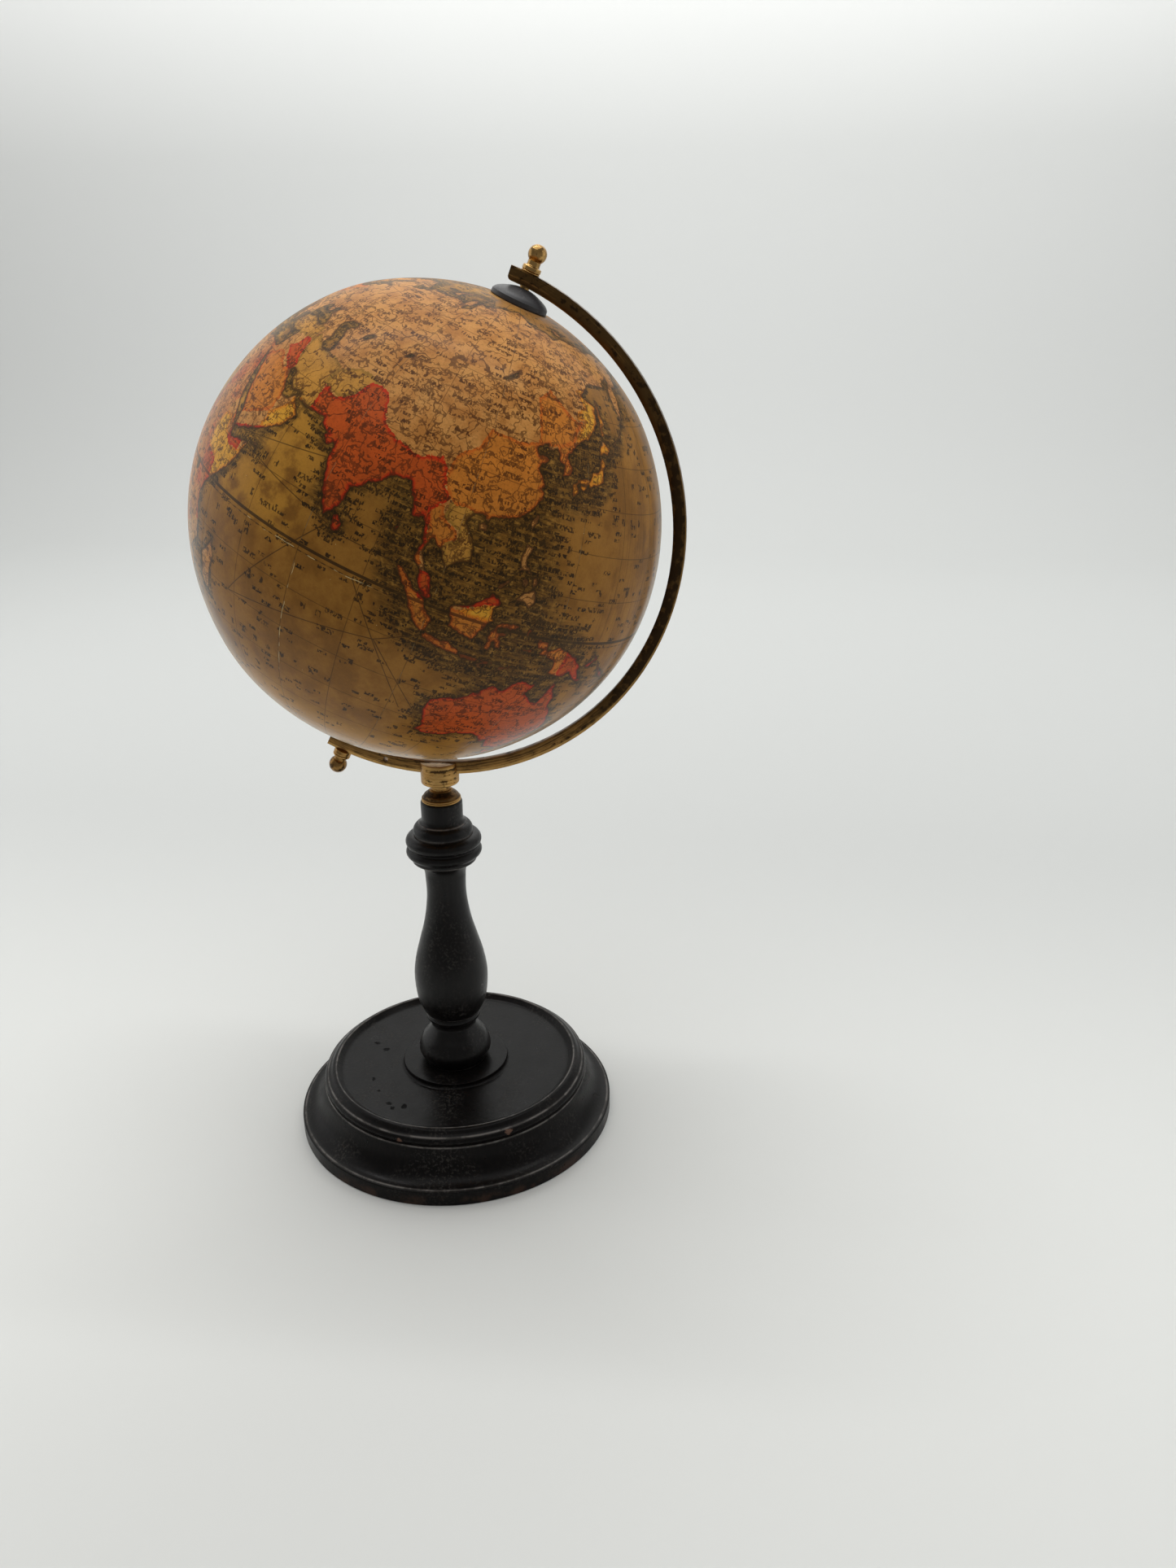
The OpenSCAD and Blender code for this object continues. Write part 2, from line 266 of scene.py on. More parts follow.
EURASIA = [
    (33, 30), (32.6, 29.6), (34.2, 27.8), (34.9, 29.4), (34.6, 28), (37, 25), (39, 21.5),
    (42.6, 16.5), (43.4, 12.7), (45, 12.8), (48, 14), (52, 15.5), (54.5, 17), (57.8, 19),
    (59.8, 22.4), (58.5, 23.6), (56.8, 24.3), (56.4, 26.3), (54.5, 24.2), (51.7, 24.1),
    (51.3, 26), (50.2, 26.4), (48.2, 29.5), (48.6, 30.2), (50.5, 29.8), (51.2, 27.9),
    (54, 26.6), (56.9, 27), (57.6, 25.6), (61.5, 25.1), (66.5, 25.3), (67.3, 24.1),
    (68.6, 23.2), (70.3, 22.9), (69, 22.3), (70.8, 20.7), (72.4, 22), (72.8, 20),
    (73, 18), (73.9, 15.4), (74.9, 12.8), (76.2, 10), (77.5, 8.1), (78.2, 9), (79.2, 10.3),
    (79.9, 11.5), (80.3, 13.4), (80.1, 15.4), (82.3, 16.6), (84.2, 18.5), (86.6, 20),
    (87, 21.4), (88.8, 21.7), (90.6, 22.2), (91.8, 22.2), (92.4, 20.6), (94, 18.5),
    (94.4, 16), (95.6, 15.8), (97, 17), (97.7, 15.5), (98.7, 12), (98.5, 9.5), (98.3, 8),
    (100.2, 6.4), (100.6, 4.3), (101.4, 2.9), (103.5, 1.3), (104.3, 1.5), (103.4, 3.9),
    (103, 5.6), (101, 6.9), (100.2, 8.6), (99.3, 10.3), (100, 12.6), (100.6, 13.5),
    (101.2, 12.7), (102.6, 12), (103.6, 10.6), (105, 8.7), (106.8, 10.4), (109.2, 11.6),
    (109.3, 13.4), (108.3, 16), (106.4, 17.9), (105.7, 19), (106.8, 20.7), (108, 21.5),
    (109.7, 21.6), (109.8, 20.3), (110.5, 20.4), (110.6, 21.3), (113.4, 22.2), (114.4, 22.6),
    (116.7, 23.3), (118.6, 24.7), (119.7, 26), (121.2, 28), (122, 29.8), (120.8, 30.6),
    (121.9, 31.6), (120.8, 33), (119.3, 35), (120.6, 36.2), (122.5, 37), (120.8, 37.8),
    (119, 37.3), (117.7, 38.8), (119.5, 39.6), (121.5, 40.8), (121.4, 39), (124.2, 40),
    (125.2, 39.4), (124.8, 38), (126.7, 37.2), (126.4, 34.5), (129, 35.2), (129.4, 37),
    (127.5, 39.3), (129.7, 41), (130.8, 42.4), (132, 43.2), (135.5, 44.5), (138.2, 46.8),
    (140.4, 49), (140.6, 51.5), (141.4, 53), (138, 54), (135.3, 54.7), (137.6, 56.2),
    (142, 59), (146, 59.3), (151, 59.3), (155, 59.4), (154.6, 60.2), (160, 61.8),
    (164.5, 62.5), (162.5, 60.8), (159, 59.4), (156.8, 57.8), (155.6, 55), (156.7, 51),
    (158.5, 52.8), (160, 54.7), (162, 56.2), (163.2, 58), (164.6, 59.9), (170, 60),
    (172, 61.2), (177, 62.6), (179, 64.6), (181, 65.2), (187, 64.4), (190, 66), (183, 67.5),
    (178.5, 69), (172, 70), (168, 69.8), (161, 69.5), (159, 70.9), (150, 71.6), (140, 72.5),
    (131, 71), (127, 73), (119, 73), (113, 73.8), (107, 77), (102, 77.6), (97, 76.2),
    (87, 75.2), (80.5, 73), (80, 72), (75, 72.8), (73.6, 71), (74.5, 68), (71, 66.5),
    (69.5, 67.5), (72.6, 70), (71.5, 72.8), (69.5, 73), (67, 71), (67.5, 69), (64, 69.3),
    (60.5, 69.8), (57, 68.5), (53.5, 68.3), (47, 67.8), (44, 68.5), (43.5, 66.2),
    (40, 64.7), (36.5, 64), (33.5, 66.5), (40.5, 66.2), (41, 67.5), (33, 69.4), (28, 71),
    (21, 70), (15, 68.2), (12.5, 65.8), (9.5, 63.6), (5, 62), (5.4, 59), (8, 58),
    (10.6, 59.2), (11.5, 58.4), (12.8, 56), (14.3, 55.5), (16.5, 56.5), (17, 58.6),
    (18.8, 60), (17.3, 61.7), (21.5, 64.5), (24.2, 65.8), (25.3, 65), (21.5, 62.8),
    (21.5, 60.8), (23, 59.9), (29.5, 60), (24, 59.3), (24, 57.4), (21.5, 57), (21, 55.3),
    (19, 54.4), (14.2, 53.9), (11, 54.1), (10, 55.2), (10.5, 57.6), (8.2, 57), (8.4, 54.5),
    (6.8, 53.5), (4.5, 52.8), (3.5, 51.4), (1.6, 50.6), (0.2, 49.6), (-1.6, 49.6),
    (-1.8, 48.6), (-4.7, 48.4), (-2.4, 47.2), (-1.2, 46), (-1.6, 43.4), (-9.2, 43.1),
    (-8.8, 41.2), (-9.4, 38.7), (-8.9, 37), (-6.5, 36.9), (-5.6, 36), (-2.2, 36.8),
    (-0.5, 38), (0, 39.6), (3.2, 42), (3.4, 43.2), (6, 43.1), (8.8, 44.4), (10.5, 43),
    (12.3, 41.7), (15.6, 40), (16, 38), (17.2, 39), (16.8, 40.5), (18.4, 40.2), (16, 41.9),
    (13.6, 43.6), (12.4, 45.3), (13.7, 45.6), (15.3, 44), (19.4, 41.9), (19.5, 40),
    (21.3, 38.2), (21.7, 36.9), (23.2, 36.5), (24, 38), (22.8, 39.5), (23.8, 40.3),
    (26.2, 40.8), (29, 41.1), (28, 42.5), (28.7, 44.3), (31, 46.5), (33.5, 46.1),
    (33, 45.2), (34, 44.5), (36.4, 45.2), (35.5, 46.4), (38.5, 47), (37.7, 45), (41.5, 42),
    (40, 41), (37, 41.2), (34, 42), (31, 41.2), (28.8, 41), (26.3, 39.8), (26.5, 38.3),
    (27.6, 36.8), (30.5, 36.4), (32.5, 36.1), (36, 36.8), (35.8, 35), (35, 32.8),
    (34.2, 31.3), (33, 31.1),
]
AFRICA = [
    (33.4, 31.1), (30, 31.4), (25, 31.7), (20, 30.8), (20.5, 32.7), (15.3, 32), (11, 33.5),
    (11, 37), (5, 36.8), (-1, 35.7), (-5.9, 35.8), (-9, 32.6), (-10, 29.5), (-13, 27.7),
    (-16.5, 22.5), (-16.3, 19), (-17.4, 14.7), (-15, 10.9), (-13, 8.5), (-8, 4.6), (-4, 5.3),
    (1.5, 6.2), (4.5, 6.3), (6, 4.3), (9, 4), (9.5, 1), (9, -1), (12, -5), (13.5, -9),
    (12.5, -13.5), (11.8, -18), (14.5, -22.5), (15.2, -27), (17.5, -31), (18.4, -34.2),
    (20, -34.8), (25.5, -34), (28.5, -32.7), (31, -29.8), (32.8, -27.5), (32.8, -25.8),
    (35.4, -24), (35, -20.5), (37, -17.8), (40.6, -15.3), (40.5, -11), (39.3, -7.5),
    (39, -5), (40.2, -2.7), (42.3, -0.5), (45.5, 2.2), (48.5, 5), (50, 8.3), (51.3, 11.8),
    (48, 11.2), (44.3, 10.4), (43.2, 11.6), (43, 12.6), (41, 15), (38.5, 18), (37.2, 21),
    (35.5, 24), (33.7, 27.3), (32.4, 29.8), (33.4, 30.2),
]
NORTH_AMERICA = [
    (-168, 65.7), (-162, 66.6), (-166.5, 68.3), (-156.5, 71.3), (-141, 69.7), (-128, 70),
    (-115, 68.3), (-108, 68), (-96, 67.8), (-95, 71.8), (-90, 69), (-82, 69.6), (-81.5, 67.3),
    (-87, 64.5), (-94, 61), (-93, 58.7), (-88, 56.5), (-82.3, 55), (-82, 52.8),
    (-79.3, 51.3), (-79, 54.8), (-77, 57), (-78.3, 59), (-77.5, 62.5), (-70, 61), (-65, 59),
    (-61.5, 56), (-56, 52.5), (-60, 50.2), (-66.5, 50), (-65, 48.5), (-64.5, 46.5),
    (-60.3, 46.2), (-65.5, 43.6), (-67, 44.8), (-70, 43.5), (-70.5, 41.7), (-74, 40.5),
    (-76, 37), (-76, 35), (-81, 31.5), (-80, 27), (-81, 25.2), (-82.8, 28), (-84, 30),
    (-89.5, 29.5), (-94, 29.5), (-97.3, 27), (-97.7, 22), (-95.5, 18.5), (-91, 18.8),
    (-90.3, 21), (-87, 21.5), (-88, 16), (-83.3, 15), (-83.8, 10.8), (-80, 9.2),
    (-77, 8.8), (-77.6, 7.2), (-80, 7.4), (-83, 8.4), (-85.8, 10.8), (-91.5, 14), (-95, 16),
    (-101.5, 17.5), (-105.5, 20), (-105.7, 22.8), (-109, 26), (-113, 31), (-114.7, 31.6),
    (-111, 26), (-109.6, 23), (-112, 25), (-115, 28.5), (-117, 32.5), (-120.6, 34.6),
    (-124.2, 40.3), (-124, 46.5), (-123, 49), (-127.5, 51.5), (-131, 55.5), (-137, 58.8),
    (-146, 60.8), (-151.5, 59.5), (-158, 56.5), (-164, 54.7), (-158, 58.5), (-165, 61.5),
    (-161, 64.4), (-166, 64.5),
]
SOUTH_AMERICA = [
    (-77.4, 9), (-75.5, 10.8), (-71.8, 12.3), (-68, 10.9), (-62, 10.7), (-57, 6),
    (-51.5, 4.3), (-50, 0.8), (-44.5, -2.5), (-38.5, -3.7), (-35, -6.5), (-37, -11.5),
    (-39, -15), (-39.8, -19.6), (-42, -22.9), (-47, -24.7), (-48.7, -28), (-53.5, -34),
    (-57.5, -35), (-57, -37.8), (-62.2, -38.9), (-65, -41), (-65.5, -45), (-67.5, -48),
    (-69, -51), (-65.2, -54.7), (-70, -55.3), (-74.5, -51.5), (-75.5, -47), (-73.7, -41.5),
    (-73.4, -37), (-71.5, -30), (-70.3, -18.4), (-76.3, -13.8), (-79.8, -7), (-81.3, -4.5),
    (-80.5, -2), (-80, 0.8), (-77.4, 3.9), (-78, 7.3),
]
AUSTRALIA = [
    (142.5, -10.7), (143.6, -14), (145.3, -15.2), (146.2, -18.8), (148.6, -20.3),
    (150.8, -23.3), (153.2, -25.5), (153.6, -28.5), (152.5, -32.4), (150.8, -34.8),
    (150, -37.4), (146.3, -39.1), (144.3, -38.3), (140.6, -38), (139.4, -36), (138.2, -35.6),
    (138, -33.2), (137, -35.2), (135.6, -34.8), (134, -32.7), (131, -31.5), (126, -32.3),
    (123.5, -33.9), (118, -35.1), (115, -34.2), (115.7, -31.8), (114.6, -28.8), (113.4, -26),
    (113.8, -22.3), (116.8, -20.7), (119.5, -20), (121.7, -18.4), (122.3, -17),
    (123.6, -17.4), (123.8, -16), (126, -14), (128, -15), (129.4, -14.9), (130.8, -12.4),
    (132.6, -11.4), (135.5, -12.2), (136.8, -12.2), (135.6, -14.9), (139.3, -17.5),
    (140.9, -17.5), (141.6, -15), (141.7, -12.8),
]
ANTARCTICA = [
    (-181, -78), (-160, -77), (-135, -74.5), (-110, -74.5), (-100, -72.5), (-75, -73),
    (-67, -68), (-57, -63.3), (-61, -68), (-62, -74.5), (-50, -78), (-35, -78), (-20, -73.5),
    (0, -70.5), (30, -69.5), (50, -66.8), (70, -68.5), (90, -66.5), (115, -66.5),
    (135, -66.2), (150, -68.3), (165, -71), (167, -77.5), (181, -78), (181, -89.9),
    (-181, -89.9),
]
ISLANDS = [
    [(79.7, 8.2), (80, 6.5), (80.6, 5.9), (81.7, 6.5), (81.9, 7.8), (81.1, 8.9), (80.1, 9.8)],
    [(95.3, 5.7), (97.5, 5.2), (98.7, 3.8), (100.5, 2.2), (103.3, 0.6), (103.8, -1),
     (106.1, -2.6), (105.9, -5.8), (104.6, -5.9), (102.3, -4), (100.4, -1), (98.8, 1.7),
     (97, 3.4)],
    [(105.2, -6.8), (106.1, -5.9), (108.5, -6.5), (110.8, -6.4), (112.6, -6.9),
     (114.5, -7.7), (114.4, -8.7), (110.5, -8.2), (108, -7.8), (106.4, -7.4)],
    [(109.5, 2), (111.4, 2.5), (113, 3.2), (115, 5), (116.8, 7), (119.2, 5.2), (117.7, 3.6),
     (118, 2.2), (119, 1), (117.6, 0.5), (117.5, -0.8), (116.4, -2.5), (116.2, -4),
     (114.6, -4.1), (111.8, -3.4), (110.1, -2.6), (109.9, -1.2), (109, 0.3), (109, 1.5)],
    [(119.8, 0.4), (120.9, 1.3), (124.9, 1.7), (125.1, 1.3), (123.8, 0.3), (120.4, 0.3),
     (120.2, -0.9), (121.5, -0.8), (123.3, -0.7), (122, -1.7), (121.4, -2), (122.4, -3.2),
     (122.8, -4.7), (121.5, -4.7), (121, -2.9), (120.4, -3.2), (120.4, -5.5), (119.4, -5.4),
     (119.5, -3.4), (118.8, -2.7), (119.7, -0.3)],
    [(127.5, 1.9), (128.1, 1.2), (128.7, 1.4), (128.2, 0.2), (128, -0.8), (127.5, 0.3)],
    [(127.9, -3.1), (130.8, -3.1), (130.6, -3.8), (128, -3.6)],
    [(123.5, -10.4), (125, -9), (127.3, -8.3), (126.6, -9.1), (125, -9.9)],
    [(119.7, -8.4), (122.9, -8.1), (122.9, -8.8), (119.9, -8.9)],
    [(116.7, -8.4), (119, -8.2), (119.1, -8.8), (116.8, -9.1)],
    [(114.5, -8.1), (116.5, -8.3), (116.3, -8.9), (114.9, -8.8)],
    [(119, -9.4), (120.9, -10), (120.4, -10.4), (119, -9.9)],
    [(131, -0.6), (134, -0.7), (134.7, -3.3), (137.8, -1.5), (141, -2.6), (144.5, -3.8),
     (145.8, -5.2), (147.8, -6.1), (147.2, -6.9), (148.6, -8.8), (150.8, -10.3),
     (149.9, -10.7), (147.2, -9.6), (144.6, -7.7), (143.3, -9.1), (141, -9.2), (138, -8.3),
     (138.8, -7), (137.8, -5.2), (134.7, -4), (132.9, -4), (133.4, -2.6), (132, -2.4),
     (131.1, -1.5)],
    [(148.4, -5.7), (150.5, -5.4), (152.1, -4.1), (152.3, -5), (150.5, -6.4)],
    [(150.7, -2.5), (153.1, -4.3), (152.8, -4.8), (151.3, -3.3)],
    [(154.6, -5.4), (157.5, -7.7), (161, -9.5), (162, -10.7), (159.5, -9.9), (156, -7.3)],
    [(164, -20), (167, -22.2), (166.4, -22.5), (164.1, -20.9)],
    [(166.6, -14.8), (168.4, -17.6), (168, -18), (166.7, -16)],
    [(177.2, -17.4), (178.6, -17.6), (178.3, -18.3), (177.3, -18.2)],
    [(120.6, 18.6), (122.2, 18.4), (121.6, 16), (121.9, 14.2), (124.1, 13), (123.8, 12.6),
     (122.2, 13.4), (120.7, 13.7), (120.1, 15.5), (120.3, 16.6)],
    [(120.3, 13.5), (121.5, 13), (121.2, 12.2)],
    [(121.9, 11.9), (123.2, 11.5), (123.2, 10), (122.9, 9.1), (122.4, 10)],
    [(124.3, 12.6), (125.4, 12.2), (125.6, 11.2), (125, 10.1), (124.4, 11.1)],
    [(123.4, 8.6), (125.4, 9.8), (126.5, 7.7), (125.5, 5.7), (124, 7), (122, 7), (122.6, 8)],
    [(117.1, 8.4), (119.4, 11.3), (119.4, 10.5), (117.6, 8.3)],
    [(121.5, 25.2), (121.9, 24.8), (120.9, 22), (120.1, 23), (120.8, 24.7)],
    [(108.7, 19.3), (110, 20), (111, 19.7), (110.2, 18.4), (109, 18.3)],
    [(130.9, 34), (131, 34.5), (132.7, 35.5), (135.8, 35.6), (136.8, 37.3), (138.7, 37.6),
     (139.9, 39), (140, 40.5), (141.2, 41.4), (141.9, 39.6), (141, 38.2), (140.8, 36),
     (139.8, 35.2), (138.7, 34.7), (137, 34.6), (135.8, 33.5), (135.2, 34.4), (133.5, 34.4),
     (131.5, 33.9)],
    [(129.8, 33.3), (130.9, 33.9), (131.8, 33), (131.3, 31.4), (130.2, 31.2), (130, 32.5)],
    [(132.4, 33.5), (134.4, 34.2), (134.3, 33.5), (133, 32.8)],
    [(140, 41.5), (140.4, 43.3), (141.7, 45.4), (143.5, 44.2), (145.4, 43.6), (143.3, 42),
     (141.3, 42.4), (141, 41.8)],
    [(141.9, 46), (142, 49), (142.2, 53.3), (142.8, 54.4), (143.5, 51), (144.5, 49),
     (142.9, 48.5), (142.6, 47.3), (143.4, 46.7)],
    [(146.6, 44.3), (149, 45.6), (152, 46.9), (156, 50.4), (151.5, 47), (148, 45)],
    [(49.3, -12), (50.4, -15.7), (49, -18.5), (47.2, -24.9), (45.2, -25.5), (43.6, -23),
     (44.4, -20), (44, -17), (46, -15.8), (48, -13.6)],
    [(53.4, 12.6), (54.5, 12.6), (54.2, 12.3), (53.4, 12.3)],
    [(92.6, 13.6), (93, 13.4), (92.9, 11.6), (92.5, 11.7)],
    [(93.6, 7.3), (94, 7.1), (93.9, 6.7)],
    [(144.7, -40.8), (148.2, -40.9), (147.9, -43.2), (146.5, -43.6), (145.3, -42.3)],
    [(172.8, -34.5), (174.8, -36.5), (176, -37.5), (178.4, -37.7), (177, -39.4),
     (175.3, -41.6), (174.8, -41.2), (175, -39.9), (173.8, -39.3), (174.7, -38)],
    [(172.7, -40.6), (174.2, -41.4), (172.8, -43.8), (170.8, -45.8), (168.5, -46.6),
     (166.5, -45.9), (168.3, -44), (171.2, -42.4)],
    [(-73, 78.3), (-60, 82), (-35, 83.5), (-20, 81.5), (-19, 77), (-21, 72), (-25, 70.3),
     (-32, 68), (-40, 65), (-43.5, 60), (-50, 62.5), (-54, 67), (-54, 70.5), (-60, 75.5),
     (-68, 76)],
    [(-89, 73.5), (-80, 73.7), (-67.5, 69), (-62, 66.5), (-66, 62), (-74, 64.5), (-78, 70)],
    [(-117, 72.5), (-105, 72.8), (-102, 69), (-115, 69.3)],
    [(-125, 72), (-120, 74.3), (-116, 73)],
    [(-88, 76.5), (-90, 80.5), (-70, 83), (-62, 82.3), (-78, 77)],
    [(-84.9, 21.9), (-80.5, 23.1), (-74.3, 20.2), (-77.6, 19.9), (-82, 22.4)],
    [(-74.4, 18.5), (-72.8, 19.9), (-68.5, 18.5), (-71.5, 17.8)],
    [(-59.3, 47.7), (-55.6, 51.5), (-53, 47), (-56, 47)],
    [(-5.5, 50.1), (1.4, 51.2), (1.7, 52.7), (0, 53.5), (-1.6, 55.2), (-2, 57.6), (-3, 58.6),
     (-5, 58.5), (-6, 56.6), (-4.8, 54.8), (-3, 53.8), (-4.6, 53), (-5.2, 51.8), (-3, 51.4)],
    [(-10, 51.6), (-6.3, 52.2), (-5.6, 54.6), (-8, 55.3), (-10, 54)],
    [(-24.3, 65.5), (-22.5, 64), (-18.7, 63.4), (-13.6, 65), (-16, 66.5), (-22.4, 66.4)],
    [(52, 71), (57.5, 70.6), (56, 73), (61, 75.2), (68.5, 76.9), (60, 76.2), (54, 73.5)],
    [(11, 79), (16.5, 76.7), (24, 80), (15, 80)],
    [(138, 73.8), (143.5, 73.3), (143, 75.6), (138, 76)],
    [(12.4, 38), (15.6, 38.2), (15.1, 36.7)],
    [(8.3, 41), (9.6, 42.8), (9.7, 40.8), (9.5, 39.1), (8.5, 39)],
    [(23.6, 35.5), (26.2, 35.2), (24.7, 34.9)],
    [(32.3, 35), (34.5, 35.6), (33, 34.6)],
]
LAND = [EURASIA, AFRICA, NORTH_AMERICA, SOUTH_AMERICA, AUSTRALIA, ANTARCTICA, *ISLANDS]
LAKES = [
    [(47, 44.6), (49, 46.3), (52.8, 46.9), (53, 45.2), (51, 44.5), (50.3, 44.2), (52.5, 42),
     (53.8, 39.5), (53.7, 37.2), (50.5, 37.2), (48.9, 38.4), (49.5, 40.4), (48.2, 42)],
    [(58.3, 44.5), (60, 46.5), (61.5, 46), (59.5, 43.8)],
    [(104, 51.6), (106, 53), (109, 55.6), (109.8, 55.4), (108, 53), (105.5, 51.5)],
    [(73.8, 45.2), (75, 46.7), (79, 46.7), (75, 46)],
    [(31.8, -2), (32, 0.3), (34, 0.2), (33.8, -1.8)],
    [(-92, 46.7), (-88, 48.5), (-84.5, 46.6), (-88, 46.8)],
    [(-87.8, 42), (-87.6, 45), (-85, 45.7), (-86.5, 42.2)],
    [(-83.2, 45.8), (-80, 45.6), (-81.8, 43.5)],
]

# Hand-coloured countries. A region may run out into the sea: only its land takes the colour.
RED = [
    [(61.6, 24), (61.6, 29), (61, 31.3), (66.3, 30), (69.3, 31.8), (70.5, 34.2), (71.5, 36.6),
     (74.5, 37.2), (77.8, 35.7), (79.2, 32.5), (81, 30.2), (85, 28.4), (88.2, 28), (89, 27.3),
     (92, 27.8), (96, 29.2), (97.5, 28.2), (98.7, 25.5), (99, 24), (101.2, 21.6),
     (99.5, 20.2), (97.8, 18.5), (98.6, 16.3), (98.9, 14.5), (99.5, 11.8), (98.8, 9.9),
     (96, 9), (85, 4.5), (76, 4.5), (66, 20)],
    [(99.8, 6.6), (102, 6.3), (104.8, 5), (105, 0.9), (102, 1), (100, 3.5)],
    [(109.2, 2.5), (111.5, 1.9), (113.2, 2.5), (115.3, 3.9), (117.5, 4.4), (119.6, 4.6),
     (118.5, 8), (114, 6.5), (109, 4)],
    [(141, -1), (146, -3), (154, -2), (163, -8), (163, -12.5), (152, -12), (141, -10.5)],
    [(111, -20), (122, -13), (131, -10), (143, -9.6), (156, -22), (156, -36), (149, -46),
     (113, -38)],
    [(164, -47), (172, -33), (180, -33), (180, -48)],
    [(43.2, 12), (43.6, 13.3), (46, 14), (49, 15), (53.2, 16.6), (53.5, 14), (45, 11.8)],
    [(43, 11.6), (49, 11.8), (49, 9), (45.5, 8.5), (43, 9.5)],
    [(39, 33.2), (41.2, 34.5), (42, 37.2), (44.8, 37), (46, 34), (48.3, 31), (48.3, 29.4),
     (46.5, 29.2), (44, 30.5)],
    [(25, 32), (34.6, 31.6), (37.8, 22), (38.6, 18), (36.4, 14.5), (36, 12.5), (34, 9.5),
     (35.5, 5), (41.9, 3.9), (42, -1.7), (41.5, -11), (34.5, -11.5), (32, -8.5), (29.5, -4.5),
     (29.5, -1.3), (30.5, 2.5), (27.5, 5), (24, 8.7), (22, 11), (24, 15.7), (25, 22)],
    [(16, -28.6), (20, -28.4), (20, -22), (25.3, -17.8), (22, -16.2), (24, -11), (28, -12.3),
     (33, -9.5), (33.5, -14), (30.5, -15.7), (33, -17.5), (32.8, -20), (31.3, -22.4),
     (32, -26.8), (33.2, -27), (30, -34), (20, -36), (15, -33)],
    [(3, 6), (3.5, 11.5), (5, 13.6), (13, 13.5), (9, 5.5), (6, 3.5)],
    [(-141, 72), (-141, 60.3), (-135, 59.5), (-130, 55.5), (-134, 53), (-123.5, 48.3),
     (-95, 49), (-88.5, 48.2), (-83, 45.8), (-82.5, 42), (-79, 43.2), (-75, 45),
     (-71, 45.2), (-67.8, 47), (-67, 44.7), (-66, 42.5), (-50, 46), (-54, 54), (-64, 61),
     (-60, 70), (-75, 78), (-62, 84), (-90, 84), (-125, 78)],
    [(-11, 51), (-6, 49.5), (2, 51), (2.5, 53), (-1, 60), (-8, 59)],
]
ORANGE = [
    [(97.3, 19.5), (100, 20.3), (101.2, 17.8), (104.8, 16.5), (105.3, 14.5), (102.6, 13.5),
     (102.5, 11.5), (100, 12), (99, 9.5), (100.5, 6), (98, 7.5), (98.3, 10), (98.8, 14.5)],
    [(94, 7), (104.6, 0.8), (108.5, 2), (109.6, 1.2), (119.5, 0.9), (125.5, 2), (129, 2.5),
     (141, 0), (141, -9.5), (127.5, -9), (105, -9.5), (94, 1)],
    [(34, 29), (39, 31.8), (44, 29.5), (48, 28.8), (52, 25), (52, 20), (46, 17), (43, 15.8),
     (42, 12)],
    [(124, 40.3), (128.5, 42.3), (130.8, 42.6), (130.5, 38), (129.5, 33), (125.8, 33.5),
     (124, 37.5)],
    [(118.5, 40), (117, 50), (121, 53.5), (127, 50), (131, 48), (134.5, 48.4), (131, 44.5),
     (130.6, 42.7), (128.3, 42), (124, 40.2)],
    [(98, 25), (99, 31), (103, 34), (105, 39), (113, 38.5), (119.5, 40.5), (123, 36), (123, 28),
     (117, 21), (108, 21), (101.5, 21.5)],
    [(-74, -8), (-60, 4), (-50, 5), (-34, -3), (-34, -10), (-46, -26), (-54, -31),
     (-58, -20), (-66, -10)],
    [(-118, 33), (-106, 31.5), (-97, 25.8), (-95, 17), (-87, 21), (-92, 14.5), (-108, 18)],
    [(6, 54), (14.5, 55), (23, 55), (18, 50), (12, 48), (6, 49)],
    [(8, 4), (18, 8), (27, 5), (30, 0), (29.5, -8), (24, -11), (12, -6), (8, 0)],
]
YELLOW = [
    [(52, 16), (52, 20), (55.2, 22.6), (56, 25.2), (58, 26), (61, 23), (58, 17)],
    [(110.5, 1.4), (111.6, 1.9), (113.2, 2.5), (115.3, 3.9), (117.5, 4.4), (119.6, 4.6),
     (120, 0.9), (114, 0.6)],
    [(130.5, 48.8), (135.5, 52), (133, 56), (143, 58), (144, 46), (131, 42.5), (131, 44.5),
     (134.8, 48.4)],
    [(41.5, 11), (46, 9), (48.8, 9), (52, 12), (52, 8), (43, -2), (41, -1.5), (41, 4),
     (36, 4.5), (34.5, 10), (36.5, 13.5), (40, 14)],
    [(129, 30), (131, 30), (142, 33), (146, 46), (139, 43), (129, 34.5)],
    [(-125, 48.5), (-95, 49), (-83, 46), (-82.5, 42), (-75, 45), (-67, 47), (-70, 40),
     (-79, 24), (-97, 25.8), (-117, 32.5)],
    [(-169, 72), (-141, 70), (-141, 60), (-130, 54.5), (-170, 52)],
    [(-70, -20), (-58, -25), (-54, -35), (-64, -56), (-69, -52), (-71, -30)],
    [(-10, 44), (3, 43), (0, 38), (-6, 35.5), (-10, 37)],
    [(5, 58), (5, 63), (28, 71.5), (21, 68), (12, 61)],
]
